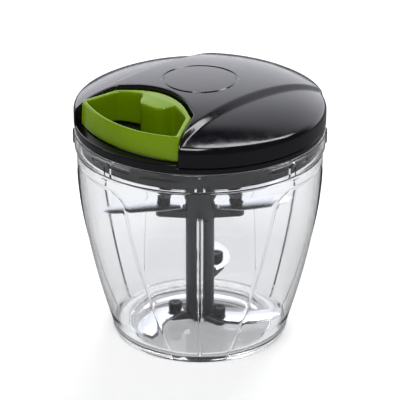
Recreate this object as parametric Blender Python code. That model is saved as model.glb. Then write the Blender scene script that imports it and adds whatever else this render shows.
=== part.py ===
"""Manual food chopper: a clear bowl, a five-blade shaft, and a lid whose pull handle
draws a cord off a sprung spool and spins the blades.

The bowl stands on z = 0, the shaft is on the Z axis and the handle is pulled along -Y.
All sizes are in millimetres and become metres when a mesh is made.
"""
import math

import bmesh
import bpy
from mathutils import Matrix, Vector, geometry

MM = 0.001
CLEAR = 0.3            # gap between pieces that touch
RUN_CLEAR = 0.4        # gap round pieces that turn or slide

# Bowl
BOWL_HEIGHT = 116.9
BAND_HEIGHT = 9.2      # height of the rim band
BAND_BOTTOM = BOWL_HEIGHT - BAND_HEIGHT
BAND_R = 66.4
BAND_PROUD = 1.2       # how far the band stands out from the body
BODY_R = BAND_R - BAND_PROUD
TAPER_BELOW_BAND = 9.7
BODY_TOP = BAND_BOTTOM - TAPER_BELOW_BAND    # height where the taper ends
LOW_R = 49.5           # radius where the foot fillet starts
LOW_Z = 9.0
FOOT_DROP = 3.6        # how far the foot fillet draws in
TAPER_POWER = 1.72
BOWL_WALL = 1.9
BAND_WALL = 1.8
FLOOR_TOP = 3.5
FLOOR_R = 42.0
FOOT_IN_R = 39.0
FOOT_RECESS = 1.0
FOOT_FLAT_R = 44.8
WINDOW_DEPTH = 0.55
WINDOW_STEP = 0.9      # width of the slanted edge of a window
WINDOW_FOOT = 4.0
WINDOW_TOP = BODY_TOP + 2.1
WINDOW_CORNER = 8.0    # height of the rounded upper corners
WINDOW_FOOT_DEG = 16.0
WINDOW_SHOULDER_DEG = 38.0
WINDOW_CORNER_DEG = 6.6
RIB_COUNT = 3
RIB_FIRST_DEG = 45.0
RIB_WIDTH = 1.5
RIB_DEPTH = 0.9
RIB_TOP = BODY_TOP - 7.0
ARCH_COUNT = 8
ARCH_WIDTH = 5.4
ARCH_HEIGHT = 8.2
ARCH_ROOT = 1.2        # how deep an arch is sunk into the band
ARCH_PROUD = 0.4

# Bayonet lock
LOCK_COUNT = 4
TAB_DEG = 24.0
TAB_REACH = 1.6
TAB_BELOW_RIM = 4.5
TAB_BOTTOM = BOWL_HEIGHT - TAB_BELOW_RIM
TAB_THICK = 1.8
LUG_DEG = 20.0
LUG_REACH = 1.5
LUG_THICK = 2.3
LUG_REST_DEG = 26.0    # from the tab centre to the lug centre, lid unlocked

# Steel pin and bush
PIN_R = 2.0
PIN_TOP = 26.0
PIN_FOOT = 2.7
BOSS_R = 4.5
BOSS_TOP = 12.4
BUSH_WALL = 1.8
BUSH_TOP = 24.0

# Lid
LID_OVERHANG = 0.1
LID_R = BAND_R + LID_OVERHANG
FLANGE_R = LID_R - 0.6
FLANGE_RISE = 3.4      # top of the flange above the bowl's rim
FLANGE_TOP = BOWL_HEIGHT + FLANGE_RISE
SKIRT_R = BAND_R - BAND_WALL - TAB_REACH - RUN_CLEAR
SKIRT_WALL = 2.0
SKIRT_DEPTH = 9.7
SKIRT_BOTTOM = BOWL_HEIGHT - SKIRT_DEPTH
PLATE_THICK = 2.2
COVER_FOOT = FLANGE_TOP + CLEAR + 0.2
COVER_WALL = 8.4
COVER_WALL_TOP = COVER_FOOT + COVER_WALL
COVER_SHELL = 1.9
SHOULDER_R = 3.2       # rounding between the wall and the dome
SHOULDER_DEG = 62.0
CROWN_RISE = 14.5      # crown above the top of the wall
CROWN_Z = COVER_WALL_TOP + CROWN_RISE
CROWN_BOW = 5.2
CROWN_FALL = 6.6
PAST_CROWN = CROWN_Z + 6.0    # height that every cut through the dome reaches
PLAIN_RING_R = 19.5
PLAIN_RING_WIDTH = 1.6
PLAIN_RING_DEPTH = 0.5
PANEL_DROP = 1.2
PANEL_MIDDLE_Y = 3.5
PANEL_CREST_X = 31.3   # edge of the raised waist
PANEL_CREST_BOW = 600.0
PANEL_FOOT_X = 36.4    # lower edge of the slanted band beside the waist
PANEL_FOOT_BOW = 1800.0
SCREW_COUNT = 3
SCREW_STEP_DEG = 90.0
SCREW_INSET = 21.5
SCREW_CIRCLE_R = LID_R - SCREW_INSET
SCREW_R = 1.3
SCREW_HEAD_R = 3.0
SCREW_HEAD = 1.7
SCREW_LENGTH = 13.0
SCREW_HEAD_Z = FLANGE_TOP - PLATE_THICK - CLEAR - SCREW_HEAD
POST_R = 4.0
LID_ORIGIN = (0.0, 0.0, BOWL_HEIGHT)

# Seal
SEAL_WIDTH = 1.8
SEAL_HEIGHT = 1.6

# Cord, spool and spring
CORD_R = 0.8
DRUM_R = 13.5
WOUND_DEPTH = 3.7
WOUND_R = DRUM_R + WOUND_DEPTH
SPOOL_R = WOUND_R + 1.8
SPOOL_FLANGE = 1.0
GROOVE_HEIGHT = 4.8
SLEEVE_R = 9.2
SLEEVE_WALL = 1.8
SLEEVE_BOTTOM = SKIRT_BOTTOM + 1.0
SOCKET_DEPTH = 9.8
SOCKET_TOP = SLEEVE_BOTTOM + SOCKET_DEPTH
AXLE_R = 1.6
AXLE_SEAT = 6.0        # floor of the axle's bore above the socket
AXLE_TOP = CROWN_Z - 4.9
CUP_R = 18.8
CUP_WALL = 1.2
CUP_FLOOR = 0.8
SPRING_TURNS = 4
SPRING_STRIP = 0.4
SPRING_HEIGHT = 3.4
SPRING_HEADROOM = 2.0
SPOOL_LOW = FLANGE_TOP + CLEAR + CUP_FLOOR + SPRING_HEIGHT + SPRING_HEADROOM
SPOOL_HUB_RISE = 2.4
SPOOL_TOP = SPOOL_LOW + 2.0 * SPOOL_FLANGE + GROOVE_HEIGHT + SPOOL_HUB_RISE
CORD_Z = SPOOL_LOW + SPOOL_FLANGE + GROOVE_HEIGHT / 2.0
KNOT_R = 2.8
KNOT_GAP = 0.6
EYELET_R = 2.2

# Pull handle, its pocket and the ledge it lies on
POCKET_SIDE_GAP = 1.0
POCKET_BACK_GAP = 1.4
POCKET_WALL = 1.5
POCKET_TO_SPOOL = 2.3
LEDGE_RISE = 1.7
LEDGE_TOP = FLANGE_TOP + LEDGE_RISE
LEDGE_R = LID_R - 0.4
POINTER_HALF = 5.4
POINTER_DROP = 2.6
HANDLE_BOTTOM = LEDGE_TOP + CLEAR
HANDLE_BACK_HEIGHT = 18.9
HANDLE_TOP_SLOPE = 0.21    # fall of the top face per millimetre forward
HANDLE_BACK_Y = -(SPOOL_R + POCKET_TO_SPOOL + POCKET_WALL + POCKET_BACK_GAP)
HANDLE_BACK_BOW = 76.0
HANDLE_BACK_CORNER = (27.8, HANDLE_BACK_Y - 9.8)
HANDLE_CORNER_R = 5.0
BACK_FLAT_SHARE = 0.15     # flat middle of the back edge, of the corner's place
HANDLE_SIDE_LEAN = 0.47    # sideways growth per millimetre forward
HANDLE_SETBACK = 6.3       # from the lid's rim to the front face
HANDLE_FRONT_Y = HANDLE_SETBACK - LID_R
HANDLE_FRONT_R = 80.2
HANDLE_FRONT_CORNER = 3.0
HANDLE_DRAFT = 0.165       # the front face leans back by this much per millimetre
HANDLE_WALL = 2.6
HANDLE_FRONT_WALL = 2.0
HANDLE_BACK_WALL = 4.6
HANDLE_INNER_BOW = 100.0
HANDLE_EDGE = 0.8
BOSS_DEPTH = 13.1          # from the handle's back to the tip of the knot boss
BOSS_HALF = 7.5
BOSS_ROOT = 11.5
KNOT_Y = HANDLE_BACK_Y - 7.3
HANDLE_ORIGIN = (0.0, HANDLE_BACK_Y, CORD_Z)

# Blade shaft
SHAFT_R = 7.7
SHAFT_BOTTOM = 5.0
SHAFT_BORE_R = 5.3
SHAFT_SPLIT = 63.5
COLLAR_R = 8.1
COLLAR_TOP = SLEEVE_BOTTOM - 1.2
SPIGOT_R = 5.0
SPIGOT_LENGTH = 6.0
HEAD_R = 5.0
HEAD_TOP = SOCKET_TOP - 0.6
DOG_DEG = 40.0
TAB_DRIVE_DEG = 30.0
DOG_OFFSET_DEG = 70.0
ARM_WIDTH = 9.0
ARM_PAST_POST = 4.4
POST_BLADE_R = 2.2
POST_RISE = 1.4
CAP_R = 3.6
CAP_HEIGHT = 4.2

# Blades
BLADE_THICK = 1.2
BLADE_WIDTH = 14.0
BLADE_ROOT_R = 9.4
LOW_ARM_Z = SHAFT_BOTTOM + 0.3
LOW_ARM = 3.6
LOW_MOUNT_R = 14.0
LOW_TIP_R = 44.9
MID_ARM_Z = 24.8
MID_ARM = 4.2
MID_MOUNT_R = 19.0
MID_TIP_R = 46.0
TOP_ARM_Z = SHAFT_SPLIT + 1.5
TOP_ARM = 4.6
TOP_MOUNT_R = 19.5
TOP_TIP_R = 52.0

# Name, height of the arm's underside, arm thickness, mount azimuth, mount radius,
# tip radius and sweep of the centre line, in degrees from -Y towards +X
BLADES = (
    ("low_1", LOW_ARM_Z, LOW_ARM, -30.0, LOW_MOUNT_R, LOW_TIP_R, 44.0),
    ("low_2", LOW_ARM_Z, LOW_ARM, 92.0, LOW_MOUNT_R, LOW_TIP_R, 44.0),
    ("mid", MID_ARM_Z, MID_ARM, 196.0, MID_MOUNT_R, MID_TIP_R, 40.0),
    ("top_1", TOP_ARM_Z, TOP_ARM, -48.0, TOP_MOUNT_R, TOP_TIP_R, 12.0),
    ("top_2", TOP_ARM_Z, TOP_ARM, 140.0, TOP_MOUNT_R, TOP_TIP_R, 12.0),
)

RING_SIDES = 48
INNER_SIDES = 24
SHAFT_SIDES = 24
DOME_SHARES = (0.902, 0.827, 0.722, 0.586, 0.451)    # rings of the dome, of the lid's radius
CAVITY_SHARES = (0.91, 0.812, 0.662, 0.451, 0.226)


def remove_everything():
    """Start from an empty scene."""
    for obj in list(bpy.data.objects):
        bpy.data.objects.remove(obj, do_unlink=True)


def make_material(name, color, roughness, metallic=0.0, alpha=1.0):
    """A Principled material with sRGB-like color already made linear."""
    material = bpy.data.materials.new(name)
    material.use_nodes = True
    shader = material.node_tree.nodes["Principled BSDF"]
    linear = [channel ** 2.2 for channel in color]
    shader.inputs["Base Color"].default_value = (*linear, 1.0)
    shader.inputs["Roughness"].default_value = roughness
    shader.inputs["Metallic"].default_value = metallic
    shader.inputs["Alpha"].default_value = alpha
    material.diffuse_color = (*linear, alpha)
    return material


def polar(radius, degrees):
    """Plan point at an azimuth from -Y towards +X."""
    angle = math.radians(degrees)
    return (radius * math.sin(angle), -radius * math.cos(angle))


def finish(name, bm, look, origin=(0.0, 0.0, 0.0), sharp=35.0):
    """Turn a bmesh in millimetres into a named object whose origin is at origin."""
    bmesh.ops.translate(bm, vec=-Vector(origin), verts=bm.verts)
    bmesh.ops.scale(bm, vec=(MM, MM, MM), verts=bm.verts)
    mesh = bpy.data.meshes.new(name)
    bm.to_mesh(mesh)
    bm.free()
    mesh.validate()
    mesh.shade_smooth()
    mesh.set_sharp_from_angle(angle=math.radians(sharp))
    obj = bpy.data.objects.new(name, mesh)
    bpy.context.scene.collection.objects.link(obj)
    obj.location = Vector(origin) * MM
    if look:
        mesh.materials.append(make_material(name, *look))
    return obj


def face_outward(bm):
    """Point every face of a closed body outward."""
    bmesh.ops.recalc_face_normals(bm, faces=bm.faces)


def lathe(profile, sides):
    """Revolve (radius, z) points about Z; points on the axis become poles."""
    bm = bmesh.new()
    rings = []
    for radius, z in profile:
        if radius < 1e-6:
            rings.append([bm.verts.new((0.0, 0.0, z))])
            continue
        ring = []
        for index in range(sides):
            angle = 2.0 * math.pi * index / sides
            ring.append(bm.verts.new((radius * math.cos(angle), radius * math.sin(angle), z)))
        rings.append(ring)
    closed = len(rings[0]) > 1
    pairs = list(zip(rings, rings[1:]))
    if closed:
        pairs.append((rings[-1], rings[0]))
    for low, high in pairs:
        for index in range(sides):
            after = (index + 1) % sides
            if len(low) == 1 and len(high) == 1:
                continue
            if len(low) == 1:
                bm.faces.new((low[0], high[index], high[after]))
            elif len(high) == 1:
                bm.faces.new((low[index], low[after], high[0]))
            else:
                bm.faces.new((low[index], low[after], high[after], high[index]))
    face_outward(bm)
    return bm


def round_loop(corners, steps=4):
    """Round the corners (x, y, radius) of a closed outline with arcs."""
    loop = []
    count = len(corners)
    for index, (x, y, radius) in enumerate(corners):
        here = Vector((x, y))
        if radius <= 0.0:
            loop.append((x, y))
            continue
        before = Vector(corners[index - 1][:2])
        after = Vector(corners[(index + 1) % count][:2])
        to_before = (before - here).normalized()
        to_after = (after - here).normalized()
        half = to_before.angle(to_after) / 2.0
        reach = min(radius / math.tan(half), 0.49 * (before - here).length, 0.49 * (after - here).length)
        radius = reach * math.tan(half)
        centre = here + (to_before + to_after).normalized() * (radius / math.sin(half))
        start = here + to_before * reach - centre
        end = here + to_after * reach - centre
        turn = start.angle_signed(end)
        for step in range(steps + 1):
            spoke = start.copy()
            spoke.rotate(Matrix.Rotation(-turn * step / steps, 2))
            loop.append(tuple(centre + spoke))
    return loop


def inset_loop(loop, distance):
    """Move each point of a counter-clockwise outline inward by distance."""
    if abs(distance) < 1e-9:
        return list(loop)
    moved = []
    count = len(loop)
    for index in range(count):
        here = Vector(loop[index])
        ahead = (Vector(loop[(index + 1) % count]) - here).normalized()
        behind = (here - Vector(loop[index - 1])).normalized()
        normal = Vector((-behind.y, behind.x)) + Vector((-ahead.y, ahead.x))
        normal.normalize()
        slant = max(0.35, normal.dot(Vector((-ahead.y, ahead.x))))
        moved.append(tuple(here + normal * (distance / slant)))
    return moved


def prism(loops, rows):
    """Closed solid over an outline and its holes.

    loops is the outer outline, counter-clockwise, then holes, clockwise. rows lists
    (inset, z) from bottom to top, where z is a height or a function of the point.
    """
    bm = bmesh.new()
    stacks = []
    for loop in loops:
        stack = []
        for inset, height in rows:
            ring = []
            for point in inset_loop(loop, inset):
                z = height(point) if callable(height) else height
                ring.append(bm.verts.new((point[0], point[1], z)))
            stack.append(ring)
        stacks.append(stack)
    for stack in stacks:
        for low, high in zip(stack, stack[1:]):
            count = len(low)
            for index in range(count):
                after = (index + 1) % count
                bm.faces.new((low[index], low[after], high[after], high[index]))
    for level, flip in ((0, True), (-1, False)):
        rings = [stack[level] for stack in stacks]
        flat = [vert for ring in rings for vert in ring]
        outlines = [[Vector((vert.co.x, vert.co.y, 0.0)) for vert in ring] for ring in rings]
        for triangle in geometry.tessellate_polygon(outlines):
            corners = [flat[number] for number in triangle]
            bm.faces.new(reversed(corners) if flip else corners)
    face_outward(bm)
    return bm


def sector_prism(inner_r, outer_r, low, high, centre_deg, span_deg, steps=6):
    """Piece of a ring between two radii and two heights."""
    start = centre_deg - span_deg / 2.0
    outer = [polar(outer_r, start + span_deg * step / steps) for step in range(steps + 1)]
    inner = [polar(inner_r, start + span_deg * step / steps) for step in range(steps, -1, -1)]
    return prism([outer + inner], [(0.0, low), (0.0, high)])


def circle_loop(x, y, radius, sides=16, clockwise=False):
    """Round outline."""
    turn = -1.0 if clockwise else 1.0
    loop = []
    for index in range(sides):
        angle = turn * 2.0 * math.pi * index / sides
        loop.append((x + radius * math.cos(angle), y + radius * math.sin(angle)))
    return loop


def cylinder(x, y, radius, low, high, sides=16):
    """Upright cylinder."""
    return prism([circle_loop(x, y, radius, sides)], [(0.0, low), (0.0, high)])


def combine(obj, operation, *tools):
    """Apply exact Booleans with throw-away bmesh tools, one after another."""
    for bm in tools:
        tool = finish("tool", bm, None, tuple(obj.location / MM))
        modifier = obj.modifiers.new("cut", "BOOLEAN")
        modifier.operation = operation
        modifier.solver = "EXACT"
        modifier.object = tool
        evaluated = obj.evaluated_get(bpy.context.evaluated_depsgraph_get())
        mesh = bpy.data.meshes.new_from_object(evaluated)
        obj.modifiers.remove(modifier)
        old = obj.data
        obj.data = mesh
        bpy.data.meshes.remove(old)
        mesh.name = obj.name
        bpy.data.objects.remove(tool, do_unlink=True)
    tidy_mesh(obj)
    return obj


def tidy_mesh(obj):
    """Merge the hairline seams that a Boolean leaves."""
    bm = bmesh.new()
    bm.from_mesh(obj.data)
    bmesh.ops.remove_doubles(bm, verts=bm.verts, dist=2e-6)
    bmesh.ops.dissolve_degenerate(bm, edges=bm.edges, dist=1e-6)
    bmesh.ops.triangulate(bm, faces=[face for face in bm.faces if len(face.verts) > 4])
    bm.to_mesh(obj.data)
    bm.free()
    obj.data.shade_smooth()
    obj.data.set_sharp_from_angle(angle=math.radians(35.0))


def bowl_radius(z):
    """Outer radius of the bowl's body."""
    if z >= BODY_TOP:
        return BODY_R
    if z >= LOW_Z:
        share = (BODY_TOP - z) / (BODY_TOP - LOW_Z)
        return BODY_R - (BODY_R - LOW_R) * share ** TAPER_POWER
    return LOW_R - FOOT_DROP * (1.0 - math.sqrt(max(z, 0.0) / LOW_Z))


def window_edge(z):
    """Azimuth from the rib to the window's side, which sweeps outward as it rises."""
    share = min(max(z / WINDOW_TOP, 0.0), 1.0)
    side = WINDOW_FOOT_DEG + (WINDOW_SHOULDER_DEG - WINDOW_FOOT_DEG) * share ** 0.72
    corner = max(0.0, (z - (WINDOW_TOP - WINDOW_CORNER)) / WINDOW_CORNER)
    return side + WINDOW_CORNER_DEG * min(corner, 1.0) ** 3


def bowl_columns(z, radius):
    """Azimuths of one third of the bowl: rib, window edges and the cells between."""
    rib = math.degrees(RIB_WIDTH / 2.0 / radius)
    edge = window_edge(z)
    half_step = math.degrees(WINDOW_STEP / 2.0 / radius)
    sector = 180.0 / RIB_COUNT
    field_cells = 4
    window_cells = 4
    if z > WINDOW_TOP + 1.0:
        cells = field_cells + window_cells + 1
        return [rib + (sector - rib) * cell / cells for cell in range(cells)], field_cells
    half = [rib + (edge - half_step - rib) * cell / field_cells for cell in range(field_cells + 1)]
    start = edge + half_step
    half += [start + (sector - start) * cell / window_cells for cell in range(window_cells)]
    return half, field_cells


def bowl_ring(bm, radius, z, recess=0.0, rib=0.0):
    """One ring of the bowl's surface, with the windows recessed or the ribs raised."""
    ring = []
    half, field_cells = bowl_columns(z, radius)
    for third in range(RIB_COUNT):
        centre = RIB_FIRST_DEG + 360.0 * third / RIB_COUNT
        for index in range(len(half) - 1, -1, -1):
            depth = recess if index > field_cells else 0.0
            lift = rib if index == 0 else 0.0
            x, y = polar(radius - depth - lift, centre - half[index])
            ring.append(bm.verts.new((x, y, z)))
        for index in range(len(half)):
            depth = recess if index > field_cells else 0.0
            lift = rib if index == 0 else 0.0
            x, y = polar(radius - depth - lift, centre + half[index])
            ring.append(bm.verts.new((x, y, z)))
        x, y = polar(radius - recess, centre + 180.0 / RIB_COUNT)
        ring.append(bm.verts.new((x, y, z)))
    return ring


def bridge(bm, low, high):
    """Quads between two rings of the same count."""
    count = len(low)
    for index in range(count):
        after = (index + 1) % count
        bm.faces.new((low[index], low[after], high[after], high[index]))


def build_bowl():
    """Bowl with windows, ribs, floor boss, rim band, lock tabs and rim arches."""
    bm = bmesh.new()
    rings = []
    centre_bottom = bm.verts.new((0.0, 0.0, FOOT_RECESS))
    rings.append(bowl_ring(bm, FOOT_IN_R - 0.8, FOOT_RECESS))
    rings.append(bowl_ring(bm, FOOT_IN_R, 0.0))
    rings.append(bowl_ring(bm, FOOT_FLAT_R, 0.0))
    for z in (0.5, 2.0):
        rings.append(bowl_ring(bm, bowl_radius(z), z))
    for share in (0.0, 0.05, 0.17, 0.32, 0.48, 0.64, 0.80, 0.92, 0.97, 0.995):
        z = WINDOW_FOOT + (WINDOW_TOP - WINDOW_FOOT) * share
        rings.append(bowl_ring(bm, bowl_radius(z), z, recess=WINDOW_DEPTH))
    rings.append(bowl_ring(bm, BODY_R, WINDOW_TOP + 0.5))
    rings.append(bowl_ring(bm, BODY_R + 0.1, BAND_BOTTOM - 0.2))
    rings.append(bowl_ring(bm, BAND_R - 0.3, BAND_BOTTOM))
    rings.append(bowl_ring(bm, BAND_R, BAND_BOTTOM + 0.4))
    rings.append(bowl_ring(bm, BAND_R, BOWL_HEIGHT - 0.6))
    rings.append(bowl_ring(bm, BAND_R - 0.5, BOWL_HEIGHT))
    band_in = BAND_R - BAND_WALL
    rings.append(bowl_ring(bm, band_in + 0.4, BOWL_HEIGHT))
    rings.append(bowl_ring(bm, band_in, BOWL_HEIGHT - 0.5))
    ledge = BAND_BOTTOM - 1.2
    rings.append(bowl_ring(bm, band_in, ledge + 0.4))
    rings.append(bowl_ring(bm, BODY_R - BOWL_WALL, ledge - 0.6))
    rings.append(bowl_ring(bm, BODY_R - BOWL_WALL, RIB_TOP + 2.0))
    rings.append(bowl_ring(bm, bowl_radius(RIB_TOP) - BOWL_WALL, RIB_TOP))
    for share in (0.985, 0.66, 0.32, 0.0):
        z = LOW_Z + 1.0 + (RIB_TOP - LOW_Z - 1.0) * share
        rings.append(bowl_ring(bm, bowl_radius(z) - BOWL_WALL, z, rib=RIB_DEPTH))
    wall_foot = bowl_radius(LOW_Z - 1.5) - BOWL_WALL - 0.2
    rings.append(bowl_ring(bm, wall_foot, FLOOR_TOP + 3.6, rib=RIB_DEPTH))
    rings.append(bowl_ring(bm, wall_foot - 1.2, FLOOR_TOP + 1.5, rib=RIB_DEPTH))
    rings.append(bowl_ring(bm, wall_foot - 3.2, FLOOR_TOP + 0.3))
    rings.append(bowl_ring(bm, FLOOR_R, FLOOR_TOP))
    rings.append(bowl_ring(bm, BOSS_R + 0.8, FLOOR_TOP))
    centre_top = bm.verts.new((0.0, 0.0, FLOOR_TOP))
    for low, high in zip(rings, rings[1:]):
        bridge(bm, low, high)
    count = len(rings[0])
    for index in range(count):
        after = (index + 1) % count
        bm.faces.new((centre_bottom, rings[0][index], rings[0][after]))
        bm.faces.new((centre_top, rings[-1][index], rings[-1][after]))
    face_outward(bm)
    bowl = finish("bowl", bm, ((0.93, 0.95, 0.96), 0.06, 0.0, 0.25))
    boss = lathe([(0.0, FLOOR_TOP - 0.8), (BOSS_R, FLOOR_TOP - 0.8), (BOSS_R, BOSS_TOP - 0.4),
                  (BOSS_R - 0.4, BOSS_TOP), (0.0, BOSS_TOP)], 18)
    combine(bowl, "UNION", boss)
    combine(bowl, "DIFFERENCE", cylinder(0.0, 0.0, PIN_R + CLEAR, PIN_FOOT - CLEAR, BOSS_TOP + 1.0, 20))
    for number in range(LOCK_COUNT):
        centre = 360.0 * number / LOCK_COUNT
        top = TAB_BOTTOM + TAB_THICK
        tab = sector_prism(band_in - TAB_REACH, band_in + 0.8, TAB_BOTTOM, top, centre, TAB_DEG)
        combine(bowl, "UNION", tab)
    for number in range(ARCH_COUNT):
        combine(bowl, "UNION", rim_arch(360.0 * number / ARCH_COUNT))
    return bowl


def rim_arch(azimuth):
    """Round-topped rib on the outside of the rim band."""
    half = ARCH_WIDTH / 2.0
    loop = [(-half, 0.0), (half, 0.0)]
    for step in range(7):
        angle = math.pi * step / 6
        loop.append((half * math.cos(angle), ARCH_HEIGHT - half + half * math.sin(angle)))
    depth = ARCH_ROOT + ARCH_PROUD
    bm = prism([loop], [(0.0, 0.0), (0.0, depth - 0.3), (0.3, depth)])
    place = Matrix.Translation((0.0, -(BAND_R - ARCH_ROOT), BAND_BOTTOM + 0.2))
    upright = place @ Matrix.Rotation(math.pi / 2.0, 4, "X")
    turn = Matrix.Rotation(math.radians(azimuth), 4, "Z")
    bmesh.ops.transform(bm, matrix=turn @ upright, verts=bm.verts)
    return bm


def build_pin():
    """Steel pin that stands in the floor boss."""
    profile = [(0.0, PIN_FOOT), (PIN_R, PIN_FOOT), (PIN_R, PIN_TOP - 1.0), (PIN_R - 0.8, PIN_TOP),
               (0.0, PIN_TOP)]
    finish("blade_pin", lathe(profile, 20), ((0.72, 0.73, 0.75), 0.3, 1.0))


def build_seal():
    """Silicone ring between the bowl's rim and the lid's flange."""
    inner = SKIRT_R + RUN_CLEAR
    low = BOWL_HEIGHT + CLEAR
    profile = [(inner, low + 0.3), (inner + 0.3, low), (inner + SEAL_WIDTH, low),
               (inner + SEAL_WIDTH, low + SEAL_HEIGHT), (inner, low + SEAL_HEIGHT)]
    finish("seal_ring", lathe(profile, RING_SIDES), ((0.20, 0.20, 0.21), 0.6), (0.0, 0.0, low))


def side_x(y, gap):
    """Half width of the handle's straight side, moved outward by gap."""
    corner_x, corner_y = HANDLE_BACK_CORNER
    slant = math.hypot(1.0, HANDLE_SIDE_LEAN)
    return corner_x + gap * slant + HANDLE_SIDE_LEAN * (corner_y - y)


def side_meets_front(centre_y, radius, gap):
    """Point where the straight side crosses a front arc about (0, centre_y)."""
    low = centre_y - radius
    high = HANDLE_BACK_CORNER[1]
    for _ in range(40):
        middle = (low + high) / 2.0
        if math.hypot(side_x(middle, gap), middle - centre_y) > radius:
            low = middle
        else:
            high = middle
    return side_x(low, gap), low


def front_arc(centre_y, radius, gap, steps=10):
    """Points of a front arc from left to right, without its two corners."""
    front_x, front_y = side_meets_front(centre_y, radius, gap)
    edge = math.degrees(math.atan2(front_x, centre_y - front_y))
    arc = []
    for step in range(1, steps):
        azimuth = -edge + 2.0 * edge * step / steps
        x, y = polar(radius, azimuth)
        arc.append((x, y + centre_y, 0.0))
    return arc


def back_edge(x, back_gap):
    """Place of the bowed back edge."""
    return HANDLE_BACK_Y + back_gap - x * x / HANDLE_BACK_BOW


def back_points(back_gap):
    """Bowed back edge from right to left, with a flat middle for the cord's eyelet."""
    points = []
    for share in (0.65, 0.4, BACK_FLAT_SHARE, -BACK_FLAT_SHARE, -0.4, -0.65):
        x = share * HANDLE_BACK_CORNER[0]
        points.append((x, back_edge(x, back_gap), 0.0))
    return points


def fan_loop(gap, back_gap, centre_y, radius, front_corner):
    """Fan outline of the handle or its ledge, counter-clockwise."""
    corner_y = HANDLE_BACK_CORNER[1] + back_gap
    front_x, front_y = side_meets_front(centre_y, radius, gap)
    back_x = side_x(corner_y, gap)
    corners = [(front_x, front_y, front_corner), (back_x, corner_y, HANDLE_CORNER_R)]
    corners += back_points(back_gap)
    corners += [(-back_x, corner_y, HANDLE_CORNER_R), (-front_x, front_y, front_corner)]
    corners += front_arc(centre_y, radius, gap)
    return round_loop(corners)


def pocket_loop(gap, back_gap):
    """Pocket outline that runs straight out past the front of the lid."""
    corner_y = HANDLE_BACK_CORNER[1] + back_gap
    front_y = -1.2 * LID_R
    front_x = side_x(front_y, gap)
    back_x = side_x(corner_y, gap)
    corners = [(front_x, front_y, 0.0), (back_x, corner_y, HANDLE_CORNER_R + gap)]
    corners += back_points(back_gap)
    corners += [(-back_x, corner_y, HANDLE_CORNER_R + gap), (-front_x, front_y, 0.0)]
    return round_loop(corners)


def dome_profile(drop=0.0):
    """Outer surface of the lid from the rim to the crown, as (radius, z)."""
    points = []
    for step in range(4):
        angle = math.radians(SHOULDER_DEG * step / 3)
        radius = LID_R - SHOULDER_R + SHOULDER_R * math.cos(angle)
        points.append((radius, COVER_WALL_TOP + SHOULDER_R * math.sin(angle) - drop))
    for share in DOME_SHARES:
        points.append((LID_R * share, crown_height(LID_R * share) - drop))
    return points


def crown_height(radius):
    """Height of the dome: a flat crown that falls away faster towards the rim."""
    share = radius / LID_R
    return CROWN_Z - CROWN_BOW * share ** 2 - CROWN_FALL * share ** 5


def screw_places():
    """Plan points of the screws, clear of the handle's pocket."""
    return [polar(SCREW_CIRCLE_R, 90.0 + SCREW_STEP_DEG * number) for number in range(SCREW_COUNT)]


def build_cover():
    """Domed cover: shell, side panels, ring, pocket, screw posts and axle boss."""
    below = COVER_FOOT - 2.0
    half = PLAIN_RING_WIDTH / 2.0
    ring = []
    for radius, drop in ((PLAIN_RING_R + half, 0.0), (PLAIN_RING_R + half - 0.4, PLAIN_RING_DEPTH),
                         (PLAIN_RING_R - half + 0.4, PLAIN_RING_DEPTH), (PLAIN_RING_R - half, 0.0)):
        ring.append((radius, crown_height(radius) - drop))
    outer = [(0.0, COVER_FOOT), (LID_R - 0.4, COVER_FOOT), (LID_R, COVER_FOOT + 0.4)]
    outer += dome_profile() + ring + [(PLAIN_RING_R / 2.0, crown_height(PLAIN_RING_R / 2.0)), (0.0, CROWN_Z)]
    cover = finish("lid_cover", lathe(outer, RING_SIDES), ((0.16, 0.16, 0.18), 0.22), LID_ORIGIN)
    for side in (-1.0, 1.0):
        combine_object(cover, "DIFFERENCE", side_panel_cutter(side))
    wall_in = LID_R - COVER_SHELL
    inside = [(0.0, COVER_FOOT - 1.0), (wall_in, COVER_FOOT - 1.0), (wall_in, COVER_WALL_TOP - 1.0)]
    for share in CAVITY_SHARES:
        inside.append((LID_R * share, crown_height(LID_R * share) - COVER_SHELL - PANEL_DROP))
    inside.append((0.0, CROWN_Z - COVER_SHELL - PANEL_DROP))
    cavity = finish("cavity", lathe(inside, INNER_SIDES), None, LID_ORIGIN)
    outside = pocket_loop(POCKET_SIDE_GAP + POCKET_WALL, POCKET_BACK_GAP + POCKET_WALL)
    combine(cavity, "DIFFERENCE", prism([outside], [(0.0, below), (0.0, PAST_CROWN)]))
    for x, y in screw_places():
        combine(cavity, "DIFFERENCE", cylinder(x, y, POST_R, below, PAST_CROWN))
    combine(cavity, "DIFFERENCE", cylinder(0.0, 0.0, POST_R + 1.0, SPOOL_TOP + RUN_CLEAR, PAST_CROWN))
    combine_object(cover, "DIFFERENCE", cavity)
    pocket = pocket_loop(POCKET_SIDE_GAP, POCKET_BACK_GAP)
    combine(cover, "DIFFERENCE", prism([pocket], [(0.0, below), (0.0, PAST_CROWN)]))
    hole_top = SCREW_HEAD_Z + SCREW_HEAD + SCREW_LENGTH + 1.0
    for x, y in screw_places():
        combine(cover, "DIFFERENCE", cylinder(x, y, SCREW_R + CLEAR, below, hole_top, 12))
    axle_hole = cylinder(0.0, 0.0, AXLE_R + CLEAR, SPOOL_TOP - 1.0, AXLE_TOP + CLEAR, 12)
    wall_back = HANDLE_BACK_Y + POCKET_BACK_GAP + POCKET_WALL
    cord_hole = along_y(CORD_Z, circle_bar(EYELET_R + CLEAR, POCKET_WALL + 4.0), wall_back + 2.0)
    combine(cover, "DIFFERENCE", axle_hole, cord_hole)
    return cover


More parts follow.
